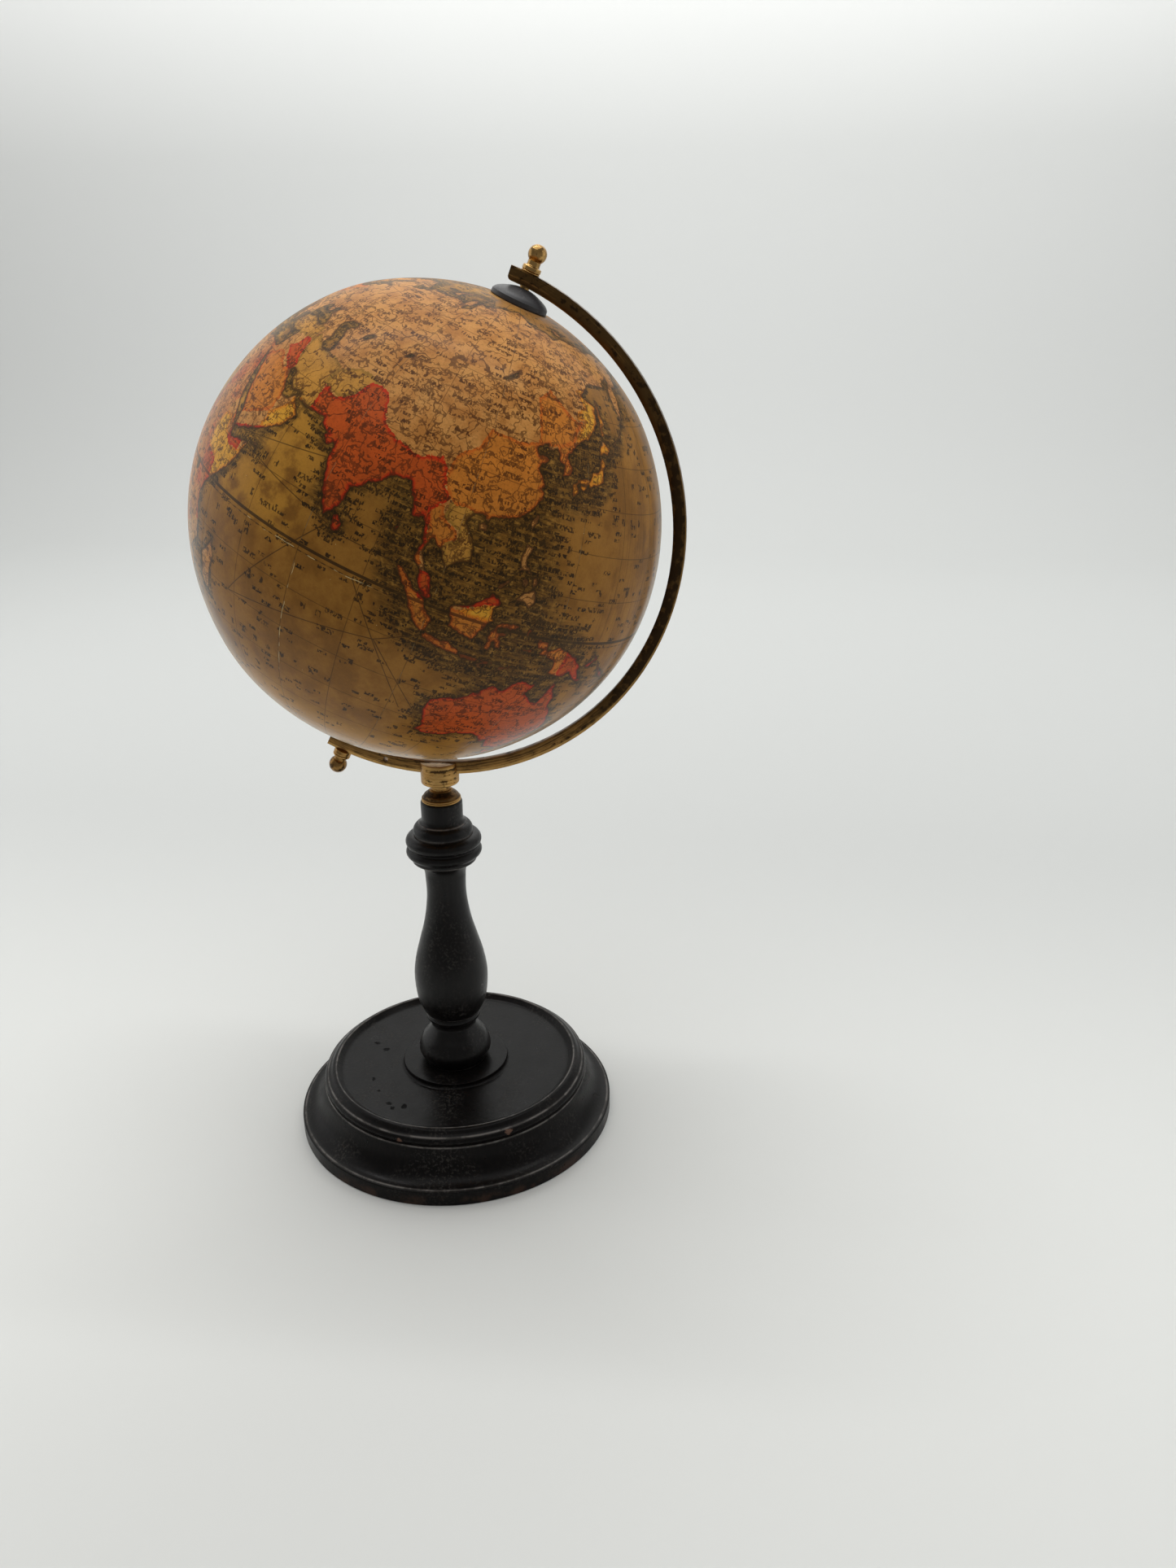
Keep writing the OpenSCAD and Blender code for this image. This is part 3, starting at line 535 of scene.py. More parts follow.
OLIVE = [
    [(44.5, 39.8), (48, 38.5), (54, 37.5), (61, 36.5), (61, 31.3), (63, 26), (61.5, 24.5),
     (54, 26), (48.6, 30), (46, 34), (44.8, 37)],
    [(61, 35.5), (66, 38), (71, 38), (74.5, 37.2), (70.5, 34.2), (69.3, 31.8), (66.3, 30),
     (61, 31.3)],
    [(101.2, 21.6), (105, 23.3), (108.3, 21.5), (109.8, 12), (104.8, 8), (102.6, 11.5),
     (102.6, 13.5), (105.3, 14.5), (104.8, 16.5), (101.2, 17.8)],
    [(26, 42), (36, 42.3), (44, 41), (44.5, 37.5), (36, 36.3), (26, 36)],
    [(-17, 21), (-6, 25), (2, 19.5), (12, 23.5), (24, 20), (22, 11), (16, 6), (13, 13.5),
     (3, 11.8), (-8, 10), (-16.5, 13)],
    [(-10, 36), (11.5, 37.5), (10, 30), (-3, 30), (-10, 28)],
    [(-5, 48.5), (2.5, 51), (7.5, 49), (7, 43.5), (3, 42.5), (-2, 43.5)],
    [(-81.5, -4), (-74, -8), (-66, -10), (-58, -20), (-62, -22), (-70, -18.5)],
]


# ---- Places taken from the frame ----

spin = next(joint for joint in frame["joints"] if joint["name"] == "globe_spin")
CENTRE = np.array(spin["pos_m"], float)
NORTH = np.array(spin["axis"], float)
BARWARD = np.array([NORTH[2], 0, -NORTH[0]])
ACROSS = np.array([0, 1.0, 0])
LONGITUDE_AT_BAR = 179.5
FIRST_GORE_EDGE = 15


def vertices_of(node):
    mesh = frame["nodes"][node].data
    flat = np.zeros(len(mesh.vertices) * 3)
    mesh.vertices.foreach_get("co", flat)
    return flat.reshape(-1, 3)


def off_axis(points, axis):
    """Each point's distance from an axis through the origin."""
    return np.linalg.norm(points - np.outer(points @ axis, axis), axis=1)


GORES = sorted(
    (name for name in frame["nodes"] if name.startswith("map_gore_")),
    key=lambda name: int(name.rsplit("_", 1)[1]),
)
GORE_ANGLE = 360 / len(GORES)
gore_radii = np.linalg.norm(vertices_of(GORES[0]) - CENTRE, axis=1)
GLOBE_R = gore_radii.max()
PAPER = GLOBE_R - gore_radii.min()
calotte_points = vertices_of("north_calotte") - CENTRE
POLE_FLAT = (calotte_points @ NORTH).max()
CALOTTE_R = off_axis(calotte_points, NORTH).max()
POLE_HOLE = off_axis(calotte_points, NORTH).min()


# ---- The map as distances to its outlines ----

FAR = 12.0  # degrees
EAST_END = 181  # degrees: an outline that runs past it comes in again at the west end


def directions(longitude, latitude):
    """Unit vectors in the map's own frame."""
    lon, lat = np.radians(longitude), np.radians(latitude)
    return np.stack([np.cos(lat) * np.cos(lon), np.cos(lat) * np.sin(lon), np.sin(lat)], -1)


def inside(outline, longitude, latitude):
    found = np.zeros(len(longitude), bool)
    turns = (0, 360) if max(x for x, _ in outline) > EAST_END else (0,)
    for turn in turns:
        x = longitude + turn
        for (x1, y1), (x2, y2) in zip(outline, outline[1:] + outline[:1], strict=True):
            if y1 != y2:
                between = (y1 > latitude) != (y2 > latitude)
                found ^= between & (x < (x2 - x1) * (latitude - y1) / (y2 - y1) + x1)
    return found


def depth_inside(outline, points, longitude, latitude):
    """Degrees from each point to the outline, positive inside it and at most FAR either way."""
    corners = directions(*np.array(outline, float).T)
    middle = corners.mean(0)
    middle /= np.linalg.norm(middle)
    reach = np.degrees(np.arccos((corners @ middle).min())) + FAR
    if np.degrees(np.arccos(min(1.0, (points @ middle).max()))) > reach:
        return np.full(len(points), -FAR)
    sides = np.roll(corners, -1, 0) - corners
    length2 = (sides**2).sum(1)
    along = points @ sides.T - (corners * sides).sum(1)
    share = np.clip(along / length2, 0, 1)
    gap2 = 2 - 2 * points @ corners.T - 2 * share * along + share**2 * length2
    gap = np.degrees(np.sqrt(np.maximum(gap2.min(1), 0)))
    return np.where(inside(outline, longitude, latitude), gap, -gap).clip(-FAR, FAR)


def depth_in_any(outlines, points, longitude, latitude):
    return np.max([depth_inside(o, points, longitude, latitude) for o in outlines], axis=0)


def map_fields(longitude, latitude):
    """Depth on land, and in the red, orange, yellow and olive countries."""
    east = (longitude + 180) % 360 - 180
    points = directions(east, latitude)
    on_land = depth_in_any(LAND, points, east, latitude)
    in_lake = depth_in_any(LAKES, points, east, latitude)
    groups = (RED, ORANGE, YELLOW, OLIVE)
    tints = [depth_in_any(group, points, east, latitude) for group in groups]
    return np.minimum(on_land, -in_lake), np.stack(tints, -1)


# ---- The paper ----

BULGES = [(52, 10, 0.40), (-50, 9, 0.35), (17, 12, -0.16)]  # latitude, width in degrees, height in mm
SLIT = 0.004  # degrees left open beside each gore edge
SEAM_DIP = 0.03 * MM
SEAM_WIDTH = 0.30  # degrees
GORE_COLUMNS, GORE_ROWS = 51, 261
CALOTTE_COLUMNS, CALOTTE_ROWS = 181, 36
PAPER_SHARP_ANGLE = 40


def bulge(latitude):
    """How far the old paper ball stands out of round, in metres."""
    return MM * sum(h * np.exp(-(((latitude - at) / wide) ** 2)) for at, wide, h in BULGES)


def place_on_globe(longitude, latitude, radius):
    turn, lat = np.radians(longitude - LONGITUDE_AT_BAR), np.radians(latitude)
    level = np.outer(np.cos(lat) * np.cos(turn), BARWARD) + np.outer(np.cos(lat) * np.sin(turn), ACROSS)
    return CENTRE + radius[:, None] * (level + np.outer(np.sin(lat), NORTH))


def sheet_faces(rows, columns):
    """The faces of a closed sheet: a grid of points outside, the same inside, and a wall round the rim."""
    count = rows * columns
    grid = np.arange(count).reshape(rows, columns)
    top = np.stack([grid[:-1, :-1], grid[:-1, 1:], grid[1:, 1:], grid[1:, :-1]], -1).reshape(-1, 4)
    rim = np.concatenate([grid[0, :-1], grid[:-1, -1], grid[-1, :0:-1], grid[:0:-1, 0]])
    after = np.roll(rim, -1)
    wall = np.stack([rim + count, after + count, after, rim], -1)
    return np.concatenate([top, top[:, ::-1] + count, wall]).tolist()


def write_map_fields(mesh, lon, lat):
    """Writes each point's place and depths on the mesh, the same for the outer and the inner side."""
    coast, tints = map_fields(lon, lat)
    places = np.tile(np.stack([lon, lat, coast], -1), (2, 1)).astype(np.float32)
    mesh.attributes.new("map_place", "FLOAT_VECTOR", "POINT").data.foreach_set("vector", places.ravel())
    depths = np.tile(tints, (2, 1)).astype(np.float32)
    mesh.attributes.new("map_tints", "FLOAT_COLOR", "POINT").data.foreach_set("color", depths.ravel())


def paper_piece(name, node, longitudes, latitudes, radius_at):
    """A closed sheet of paper on a grid of longitudes and latitudes, with the map's fields on its points."""
    lon, lat = (g.ravel() for g in np.meshgrid(longitudes, latitudes))
    radius = radius_at(lon, lat)
    outer = place_on_globe(lon, lat, radius)
    inner = place_on_globe(lon, lat, radius - PAPER * radius / GLOBE_R)
    faces = sheet_faces(len(latitudes), len(longitudes))
    obj = new_object(name, np.concatenate([outer, inner]), faces, smooth=True)
    obj.data.set_sharp_from_angle(angle=math.radians(PAPER_SHARP_ANGLE))
    write_map_fields(obj.data, lon, lat)
    obj.data.materials.append(MAP_PAPER)
    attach(obj, "globe")
    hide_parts(node)


def make_gores():
    edge = np.degrees(np.arccos(CALOTTE_R / GLOBE_R))
    latitudes = np.linspace(-edge, edge, GORE_ROWS)
    for i, node in enumerate(GORES):
        start = FIRST_GORE_EDGE + i * GORE_ANGLE
        longitudes = np.linspace(start + SLIT, start + GORE_ANGLE - SLIT, GORE_COLUMNS)

        def radius_at(lon, lat, start=start):
            from_seam = np.minimum(lon - start, start + GORE_ANGLE - lon)
            return GLOBE_R + bulge(lat) - SEAM_DIP * np.exp(-((from_seam / SEAM_WIDTH) ** 2))

        paper_piece(f"gore_{i + 1}", node, longitudes, latitudes, radius_at)


def calotte_radius(_lon, lat):
    """Round like the gores, but cut flat at the pole."""
    flat = POLE_FLAT / np.sin(np.radians(np.abs(lat)))
    return np.minimum(GLOBE_R + bulge(lat), flat)


def make_calottes():
    edge = math.degrees(math.acos(CALOTTE_R / GLOBE_R))
    hole = math.degrees(math.atan2(POLE_FLAT, POLE_HOLE))
    upward = np.linspace(edge, hole, CALOTTE_ROWS)
    longitudes = np.linspace(FIRST_GORE_EDGE, FIRST_GORE_EDGE + 360, CALOTTE_COLUMNS)
    paper_piece("north_cap", "north_calotte", longitudes, upward, calotte_radius)
    paper_piece("south_cap", "south_calotte", longitudes, -upward[::-1], calotte_radius)


# ---- The printed map's material ----


def srgb(red, green, blue):
    """A colour from 0 to 255 values, as the four linear numbers that a shader takes."""
    shares = [value / 255 for value in (red, green, blue)]
    linear = [((s + 0.055) / 1.055) ** 2.4 if s > 0.04 else s / 12.92 for s in shares]
    return (*linear, 1.0)


SEA_DARK, SEA_PALE, SEA_YELLOW = srgb(131, 87, 30), srgb(157, 108, 42), srgb(188, 134, 48)
LAND_DARK, LAND_PALE = srgb(186, 123, 58), srgb(203, 145, 78)
RED_TONE, RED_RIM = srgb(190, 82, 28), srgb(190, 48, 16)
ORANGE_TONE, ORANGE_RIM = srgb(200, 122, 44), srgb(196, 100, 32)
YELLOW_TONE, YELLOW_RIM = srgb(222, 160, 50), srgb(212, 128, 32)
OLIVE_TONE, OLIVE_RIM = srgb(192, 136, 56), srgb(154, 112, 44)
HALO_GREEN, GLINT = srgb(106, 75, 26), srgb(182, 132, 58)
INK_BROWN, INK_GREEN, FLAKE = srgb(66, 33, 12), srgb(27, 19, 7), srgb(222, 196, 140)
VARNISH_BLOOM = srgb(250, 240, 216)
CABLES = [
    ((45, 12.8), (72.5, 18.5)), ((45, 12.8), (79, 6.8)), ((57.5, -20), (79, 6.8)),
    ((88, -1), (108, -28)), ((80, 6), (95, 5.8)), ((57.5, -20), (96.5, -12)),
    ((96.5, -12), (115, -31)), ((106, -6.5), (122, -17.5)), ((96.5, -12), (106, -6.5)),
]
PARALLEL_EVERY, MERIDIAN_EVERY = 10, 15


class MapNodes(Nodes):
    """The map's material, with the places and depths that its sheets carry. Wander roughens the outlines."""

    def __init__(self, name):
        super().__init__(name)
        self.lon, self.lat, coast = self.parts(self.attribute("map_place", "Vector"))[:3]
        self.red, self.orange, self.yellow = self.parts(self.attribute("map_tints", "Color"))[:3]
        self.olive = self.attribute("map_tints", "Alpha")
        self.wander = self.centred(self.noise(520, detail=5, rough=0.62))
        self.shore = self.plus(coast, self.times(self.wander, 1.5))
        self.land = self.step(self.shore, -0.05, 0.05)
        self.sea = self.flip(self.land)

    def map_noise(self, per_lon, per_lat, seed, detail, rough=0.5):
        """Noise laid out in degrees, so that its marks can run along the parallels or the meridians."""
        vector = self.vector(self.times(self.lon, per_lon), self.times(self.lat, per_lat), seed)
        return self.noise(1.0, vector, detail, rough)

    def creases(self, field, spacing, wide, narrow):
        """1 on the thin winding lines where a noise passes multiples of twice the spacing."""
        return self.step(self.math("PINGPONG", field, spacing), wide, narrow)


def sea_colour(n, mottle):
    """Ochre in blotches, and yellower in the Arabian Sea and in the far south."""
    blotches = n.plus(n.times(n.noise(38), 0.4), n.times(mottle, 0.6))
    tone = n.mix(n.step(blotches, 0.40, 0.60), SEA_DARK, SEA_PALE)
    arabian = n.times(n.step(n.lon, 78, 66), n.step(n.lat, -5, 4), n.step(mottle, 0.35, 0.55))
    tone = n.mix(n.times(arabian, 0.8), tone, SEA_YELLOW)
    far_south = n.step(n.lat, -36, -48)
    return n.mix(n.times(far_south, 0.7), tone, SEA_YELLOW)


def land_colour(n, mottle):
    """Bare land under the hand-coloured countries, whose washes are stronger along their edges."""
    tone = n.mix(n.step(mottle, 0.3, 0.7), LAND_DARK, LAND_PALE)
    faded_in_africa = n.times(n.step(n.lon, 42, 37), n.step(n.noise(120, detail=4), 0.30, 0.55), 0.8)
    for depth, strength, wash, rim in (
        (n.olive, 1.0, OLIVE_TONE, OLIVE_RIM),
        (n.orange, 1.0, ORANGE_TONE, ORANGE_RIM),
        (n.yellow, 1.0, YELLOW_TONE, YELLOW_RIM),
        (n.red, n.flip(faded_in_africa), RED_TONE, RED_RIM),
    ):
        inner = n.plus(depth, n.times(n.wander, 2.2))
        from_edge = n.math("MINIMUM", inner, n.shore)
        tint = n.mix(n.step(from_edge, 1.0, 0.25), wash, rim)
        tone = n.mix(n.times(n.step(inner, -0.06, 0.06), strength), tone, tint)
    return n.mix(n.times(n.step(mottle, 0.55, 0.35), 0.16), tone, INK_BROWN)


def shore_gap_of(n):
    """Distance out to sea, 0 at the shore and 1 at the engraving's end, farthest off in the eastern seas."""
    eastern = n.times(
        n.step(n.lon, 84, 96),
        n.step(n.lon, 152, 136),
        n.step(n.lat, -20, -10),
        n.step(n.lat, 56, 40),
    )
    uneven_reach = n.times(n.step(n.noise(60, detail=5, rough=0.6), 0.35, 0.65), 3.6)
    reach = n.plus(0.9, uneven_reach, n.times(eastern, 6.0))
    return n.math("DIVIDE", n.times(n.shore, -1.0), reach)


def engraved_sea(n, shore_gap, tone):
    """Dark rows and dashes along the coasts: the tone under them with its pale glints, and their ink."""
    near_coast = n.times(n.step(shore_gap, 1.0, 0.15), n.sea)
    rows = n.step(n.map_noise(0.34, 1.3, 3.0, 4.0, 0.68), 0.40, 0.56)
    dashes = n.step(n.map_noise(1.9, 5.0, 5.0, 2.0), 0.4, 0.6)
    strokes = n.times(rows, n.plus(0.55, n.times(dashes, 0.45)))
    tone = n.mix(n.times(near_coast, 0.55), tone, HALO_GREEN)
    glints = n.step(n.noise(420, detail=4, rough=0.65), 0.50, 0.60)
    tone = n.mix(n.times(near_coast, glints, 0.6), tone, GLINT)
    return tone, n.times(near_coast, n.plus(0.10, n.times(strokes, 0.80)))


def coasts_and_relief(n):
    """Ink of the coast, and of borders, rivers and hills that wind like real ones but follow none."""
    coast_line = n.step(n.size_of(n.shore), 0.38, 0.18)
    borders = n.times(n.creases(n.noise(62, detail=4, rough=0.58), 0.05, 0.0100, 0.0050), n.land)
    winding = n.creases(n.noise(140, detail=4, rough=0.62), 0.08, 0.0210, 0.0100)
    rivers = n.times(winding, n.step(n.noise(45), 0.36, 0.50), n.land)
    hatching = n.step(n.noise(1500, rough=0.7), 0.44, 0.60)
    hills = n.times(n.step(n.noise(75), 0.54, 0.66), hatching, n.land)
    fine = n.times(n.step(n.noise(1900, detail=2), 0.52, 0.64), n.plus(n.times(n.land, 0.25), 0.2))
    return n.most(
        n.times(coast_line, 0.9),
        n.times(borders, 0.80),
        n.times(rivers, 0.7),
        n.times(hills, 0.42),
        n.times(fine, 0.45),
    )


def lettering(n, wide, tall, share, seed, body=0.30, pitch=2.3, spread=0.9):
    """Short rows of marks that stand for place names, and can't be read."""
    v = n.math("DIVIDE", n.lat, tall)
    row = n.math("FLOOR", v)
    lon = n.times(n.lon, n.math("COSINE", n.times(row, math.radians(tall))))
    u = n.plus(n.math("DIVIDE", lon, wide), n.times(row, 0.37), seed)
    cell = n.vector(n.math("FLOOR", u), row, seed)
    luck = n.add("ShaderNodeTexWhiteNoise", {"Vector": cell}, noise_dimensions="3D").outputs[0]
    length = n.plus(n.times(luck, spread), 0.3)
    in_length = n.math("LESS_THAN", n.math("FRACT", u), length)
    in_height = n.step(n.size_of(n.centred(n.math("FRACT", v))), body, body * 0.75)
    marks = n.noise(1.0, n.vector(n.times(lon, pitch), n.times(n.lat, pitch * 0.6), seed), 1.0)
    return n.times(in_length, in_height, n.step(marks, 0.44, 0.53), n.math("LESS_THAN", luck, share))


def place_names(n, shore_gap):
    """Ink of rows of marks, most of them off the coasts, and of a few widely spaced larger ones."""
    coastal = n.step(shore_gap, 1.6, 0.3)
    busy = n.plus(0.16, n.times(coastal, n.plus(0.12, n.times(n.sea, 0.46))))
    return n.most(
        lettering(n, 6.6, 1.75, busy, 1.7),
        n.times(lettering(n, 5.2, 1.45, busy, 5.3), 0.9),
        n.times(lettering(n, 9.5, 2.3, busy, 9.1), 0.9),
        n.times(lettering(n, 3.7, 8.0, 0.42, 2.2, body=0.11, pitch=1.5, spread=0.1), 0.9),
    )


def cable(n, start, stop):
    """1 on a thin line across the sea from one place to another."""
    (x1, y1), (x2, y2) = start, stop
    length = math.hypot(x2 - x1, y2 - y1)
    over, up = (x2 - x1) / length, (y2 - y1) / length
    x, y = n.plus(n.lon, -x1), n.plus(n.lat, -y1)
    along = n.plus(n.times(x, over), n.times(y, up))
    off = n.size_of(n.plus(n.times(x, up), n.times(y, -over)))
    within = n.times(n.math("GREATER_THAN", along, 0.0), n.math("LESS_THAN", along, length))
    return n.times(n.step(off, 0.17, 0.07), within)


def line_every(n, value, spacing, shrink=1.0):
    """1 on thin lines at multiples of the spacing. Shrink turns degrees across a line into true ones."""
    half_width = 0.085
    off = n.times(n.math("PINGPONG", value, spacing / 2), shrink)
    return n.step(off, half_width * 1.5, half_width * 0.6)


def graticule(n):
    """Ink of the meridians and parallels, and of a thick equator with a ticked scale line south of it."""
    meridians = line_every(n, n.lon, MERIDIAN_EVERY, n.math("COSINE", n.math("RADIANS", n.lat)))
    parallels = line_every(n, n.lat, PARALLEL_EVERY)
    equator = n.step(n.size_of(n.lat), 0.42, 0.28)
    dark_half = n.math("GREATER_THAN", n.math("FRACT", n.times(n.lon, 0.5)), 0.5)
    ticks = n.plus(0.45, n.times(dark_half, 0.55))
    scale_line = n.times(n.step(n.size_of(n.plus(n.lat, 1.2)), 0.17, 0.09), ticks)
    return n.most(
        n.times(n.most(meridians, parallels), 0.62), n.times(equator, 0.90), n.times(scale_line, 0.8)
    )


def stained(n, tone):
    """The tone under uneven old varnish, with dark streaks down the western Pacific."""
    stain = n.plus(0.74, n.times(n.noise(26, detail=4), 0.30), n.times(n.noise(900), 0.22))
    grey = n.add("ShaderNodeCombineColor", {0: stain, 1: stain, 2: stain}).outputs[0]
    streaks = n.step(n.map_noise(1.6, 0.06, 8.0, 3.0, 0.6), 0.50, 0.68)
    streaked = n.times(streaks, n.step(n.lon, 138, 160), n.step(n.lon, 196, 180))
    return n.mix(n.times(streaked, 0.42), n.mix(1.0, tone, grey, "MULTIPLY"), INK_BROWN)


def cracks_of(n):
    """1 in two broken cracks, one down near 75 east and one beside the equator, and a little at the seams."""
    wobble = n.times(n.centred(n.noise(130)), 1.2)
    down = n.step(n.size_of(n.plus(n.lon, -75.2, wobble)), 0.11, 0.04)
    down = n.times(down, n.step(n.lat, -2, -5), n.step(n.lat, -36, -30))
    level = n.step(n.size_of(n.plus(n.lat, 1.2, wobble)), 0.13, 0.05)
    level = n.times(level, n.step(n.lon, 56, 60), n.step(n.lon, 94, 90))
    to_seam = n.math("PINGPONG", n.plus(n.lon, -FIRST_GORE_EDGE), GORE_ANGLE / 2)
    seams = n.times(n.step(to_seam, 0.08, 0.03), 0.3)
    return n.times(n.most(down, level, seams), n.step(n.noise(230), 0.49, 0.56))


def varnish(n):
    """A thin coat that shines most towards the south and the limb, with a pale bloom over it."""
    limb = n.step(n.add("ShaderNodeLayerWeight").outputs["Facing"], 0.6, 0.97)
    southward = n.times(n.step(n.lat, 45, -45), 0.20)
    n.put(n.shader.inputs["Coat Weight"], n.plus(0.10, southward, n.times(limb, n.step(n.lat, 45, 5), 0.6)))
    n.shader.inputs["Specular IOR Level"].default_value = 0.05
    n.shader.inputs["Coat Roughness"].default_value = 0.24
    n.shader.inputs["Sheen Weight"].default_value = 0.22
    n.shader.inputs["Sheen Roughness"].default_value = 0.30
    n.shader.inputs["Sheen Tint"].default_value = VARNISH_BLOOM


def map_paper():
    """The whole printed map: washes, then ink, then stains, cracks, flakes and varnish."""
    n = MapNodes("map_paper")
    mottle = n.noise(150, detail=5, rough=0.6)
    shore_gap = shore_gap_of(n)
    tone = n.mix(n.land, sea_colour(n, mottle), land_colour(n, mottle))
    tone, sea_ink = engraved_sea(n, shore_gap, tone)
    cables = n.most(*(cable(n, start, stop) for start, stop in CABLES))
    drawn = n.most(sea_ink, coasts_and_relief(n), place_names(n, shore_gap), n.times(cables, 0.75))
    ink = n.times(n.most(drawn, graticule(n)), 0.90)
    tone = n.mix(ink, tone, n.mix(n.land, INK_GREEN, INK_BROWN))
    cracks = cracks_of(n)
    flakes = n.spots(420, 0.055, 0.06)
    worn = n.most(n.times(cracks, 0.75), n.times(flakes, 0.85))
    n.colour(n.mix(worn, stained(n, tone), FLAKE))
    n.roughness(n.plus(0.36, n.times(n.noise(300), 0.26), n.times(worn, 0.2)))
    swell = n.times(n.noise(160, detail=4), 0.8)
    fibre = n.times(n.noise(2600, detail=2), 0.16)
    n.normal(n.bump(n.plus(swell, fibre, n.times(cracks, -0.6)), 0.22 * MM, 0.5))
    varnish(n)
    return n.material


MAP_PAPER = map_paper()


# ---- Turned pieces, drawn again with finer surfaces from their CAD outlines ----

SAME_PLACE = 0.01 * MM
SOFT_BEND = 24  # degrees: a sharper bend of an outline is a corner
ROUND_OFF = 0.14 * MM
WEAR_AND_HIGHLIGHT_REACH = 0.32 * MM
CUT_LENGTH = 1.2 * MM
FEWEST_CUTS, MOST_CUTS = 3, 12


def merged(spots):
    """The different places among the spots, and for each spot the number of its place."""
    known, keys = [], []
    for spot in spots:
        near = [i for i, k in enumerate(known) if abs(k - spot).max() < SAME_PLACE]
        keys.append(near[0] if near else len(known))
        if not near:
            known.append(spot)
    return known, keys


def outline_of(node, origin, axis):
    """The outline of a turned CAD node as [radius, height] points in order, and whether it closes."""
    points = vertices_of(node) - origin
    known, keys = merged(np.stack([off_axis(points, axis), points @ axis], -1))
    joined = {i: set() for i in range(len(known))}
    for face in frame["nodes"][node].data.polygons:
        corners = {keys[v] for v in face.vertices}
        for i in corners:
            joined[i] |= corners - {i}
    ends = [i for i, others in joined.items() if len(others) == 1]
    path = [min(ends, key=lambda i: known[i][1]) if ends else 0]
    while True:
        ahead = [i for i in joined[path[-1]] if i not in path[-2:]]
        if not ahead or ahead[0] == path[0]:
            break
        path.append(ahead[0])
    return np.array([known[i] for i in path]), not ends


def unit(v):
    return v / max(np.linalg.norm(v), 1e-12)


class Corner:
    """A point of an outline. Into and out are the ways through it, which are one way at a soft bend."""

    def __init__(self, outline, closed, i):
        self.place = outline[i]
        self.after = outline[(i + 1) % len(outline)]
        self.into, self.out = unit(self.place - outline[i - 1]), unit(self.after - self.place)
        self.is_end = not closed and i in (0, len(outline) - 1)
        bend = math.degrees(math.acos(np.clip(self.into @ self.out, -1, 1)))
        self.is_sharp = not self.is_end and bend > SOFT_BEND
        if not self.is_sharp and not self.is_end:
            self.into = self.out = unit(self.into + self.out)
        self.trim = min(ROUND_OFF, 0.3 * np.linalg.norm(self.after - self.place))


def curve_point(t, start, stop, go, come):
    """A point of the smooth curve that leaves start along go and reaches stop along come."""
    t2, t3 = t * t, t**3
    ends = (2 * t3 - 3 * t2 + 1) * start + (3 * t2 - 2 * t3) * stop
    return ends + (t3 - 2 * t2 + t) * go + (t3 - t2) * come


def refined(outline, closed):
    """Rounds the sharp corners of an outline by a hair, and draws its soft bends as smooth curves."""
    corners = [Corner(outline, closed, i) for i in range(len(outline))]
    spans = zip(corners, corners[1:] + corners[:1], strict=True)
    pieces = []
    for a, b in list(spans)[: None if closed else -1]:
        start = a.place + a.out * a.trim if a.is_sharp else a.place
        stop = b.place - b.into * a.trim if b.is_sharp else b.place
        span = np.linalg.norm(stop - start)
        cuts = max(FEWEST_CUTS, min(MOST_CUTS, int(span / CUT_LENGTH)))
        for t in np.linspace(0, 1, cuts + 1)[: None if b.is_sharp or b.is_end else -1]:
            pieces.append(curve_point(t, start, stop, a.out * span, b.into * span))
        if b.is_sharp:
            pieces.append(0.25 * stop + 0.5 * b.place + 0.25 * (b.place + b.out * b.trim))
    return np.clip(pieces, outline.min(0), outline.max(0))


def edge_wear(outline, closed, line):
    """1 on the outline's proud corners, fading away from them, for each point of the finer line. It marks
    edges that are worn and painted with a highlight.
    """
    start, stop = ([], []) if closed else ([[0, outline[0, 1]]], [[0, outline[-1, 1]]])
    around = np.array([*start, *outline, *stop])
    ahead = np.roll(around, -1, 0)
    # 1 where the outline runs anticlockwise round the wood or metal, and -1 where it runs clockwise
    turn = np.sign((around[:, 0] * ahead[:, 1] - ahead[:, 0] * around[:, 1]).sum())
    wear_and_highlight = np.zeros(len(line))
    for i, corner in enumerate(outline):
        into, out = unit(corner - outline[i - 1]), unit(outline[(i + 1) % len(outline)] - corner)
        bend = turn * math.degrees(math.atan2(into[0] * out[1] - into[1] * out[0], into @ out))
        if bend > SOFT_BEND and (closed or 0 < i < len(outline) - 1):
            gap = np.linalg.norm(line - corner, axis=1)
            wear_and_highlight = np.maximum(wear_and_highlight, np.exp(-((gap / WEAR_AND_HIGHLIGHT_REACH) ** 2)))
    return wear_and_highlight


def lathe_points(line, segments, origin, axis):
    """The points of a turned surface, ring after ring."""
    side = np.cross(ACROSS, axis)
    turns = np.linspace(0, 2 * math.pi, segments, endpoint=False)
    spokes = np.outer(np.cos(turns), side) + np.outer(np.sin(turns), ACROSS)
    rings = line[:, 0][:, None, None] * spokes[None] + (line[:, 1][:, None] * axis)[:, None]
    return (origin + rings).reshape(-1, 3)


def lathe_faces(grid, closed):
    upper = np.roll(grid, -1, 0) if closed else grid[1:]
    lower = grid if closed else grid[:-1]
    corners = [lower, np.roll(lower, -1, 1), np.roll(upper, -1, 1), upper]
    return np.stack(corners, -1).reshape(-1, 4).tolist()


def close_ends(points, faces, grid, line, origin, axis):
    """Adds a fan of faces over each open end of a turned surface."""
    for ring, (radius, height) in ((grid[0][::-1], line[0]), (grid[-1], line[-1])):
        if radius > 0.001 * MM:
            centre = len(points)
            points.append((origin + axis * height).tolist())
            faces += [[int(a), int(b), centre] for a, b in zip(ring, np.roll(ring, -1), strict=True)]


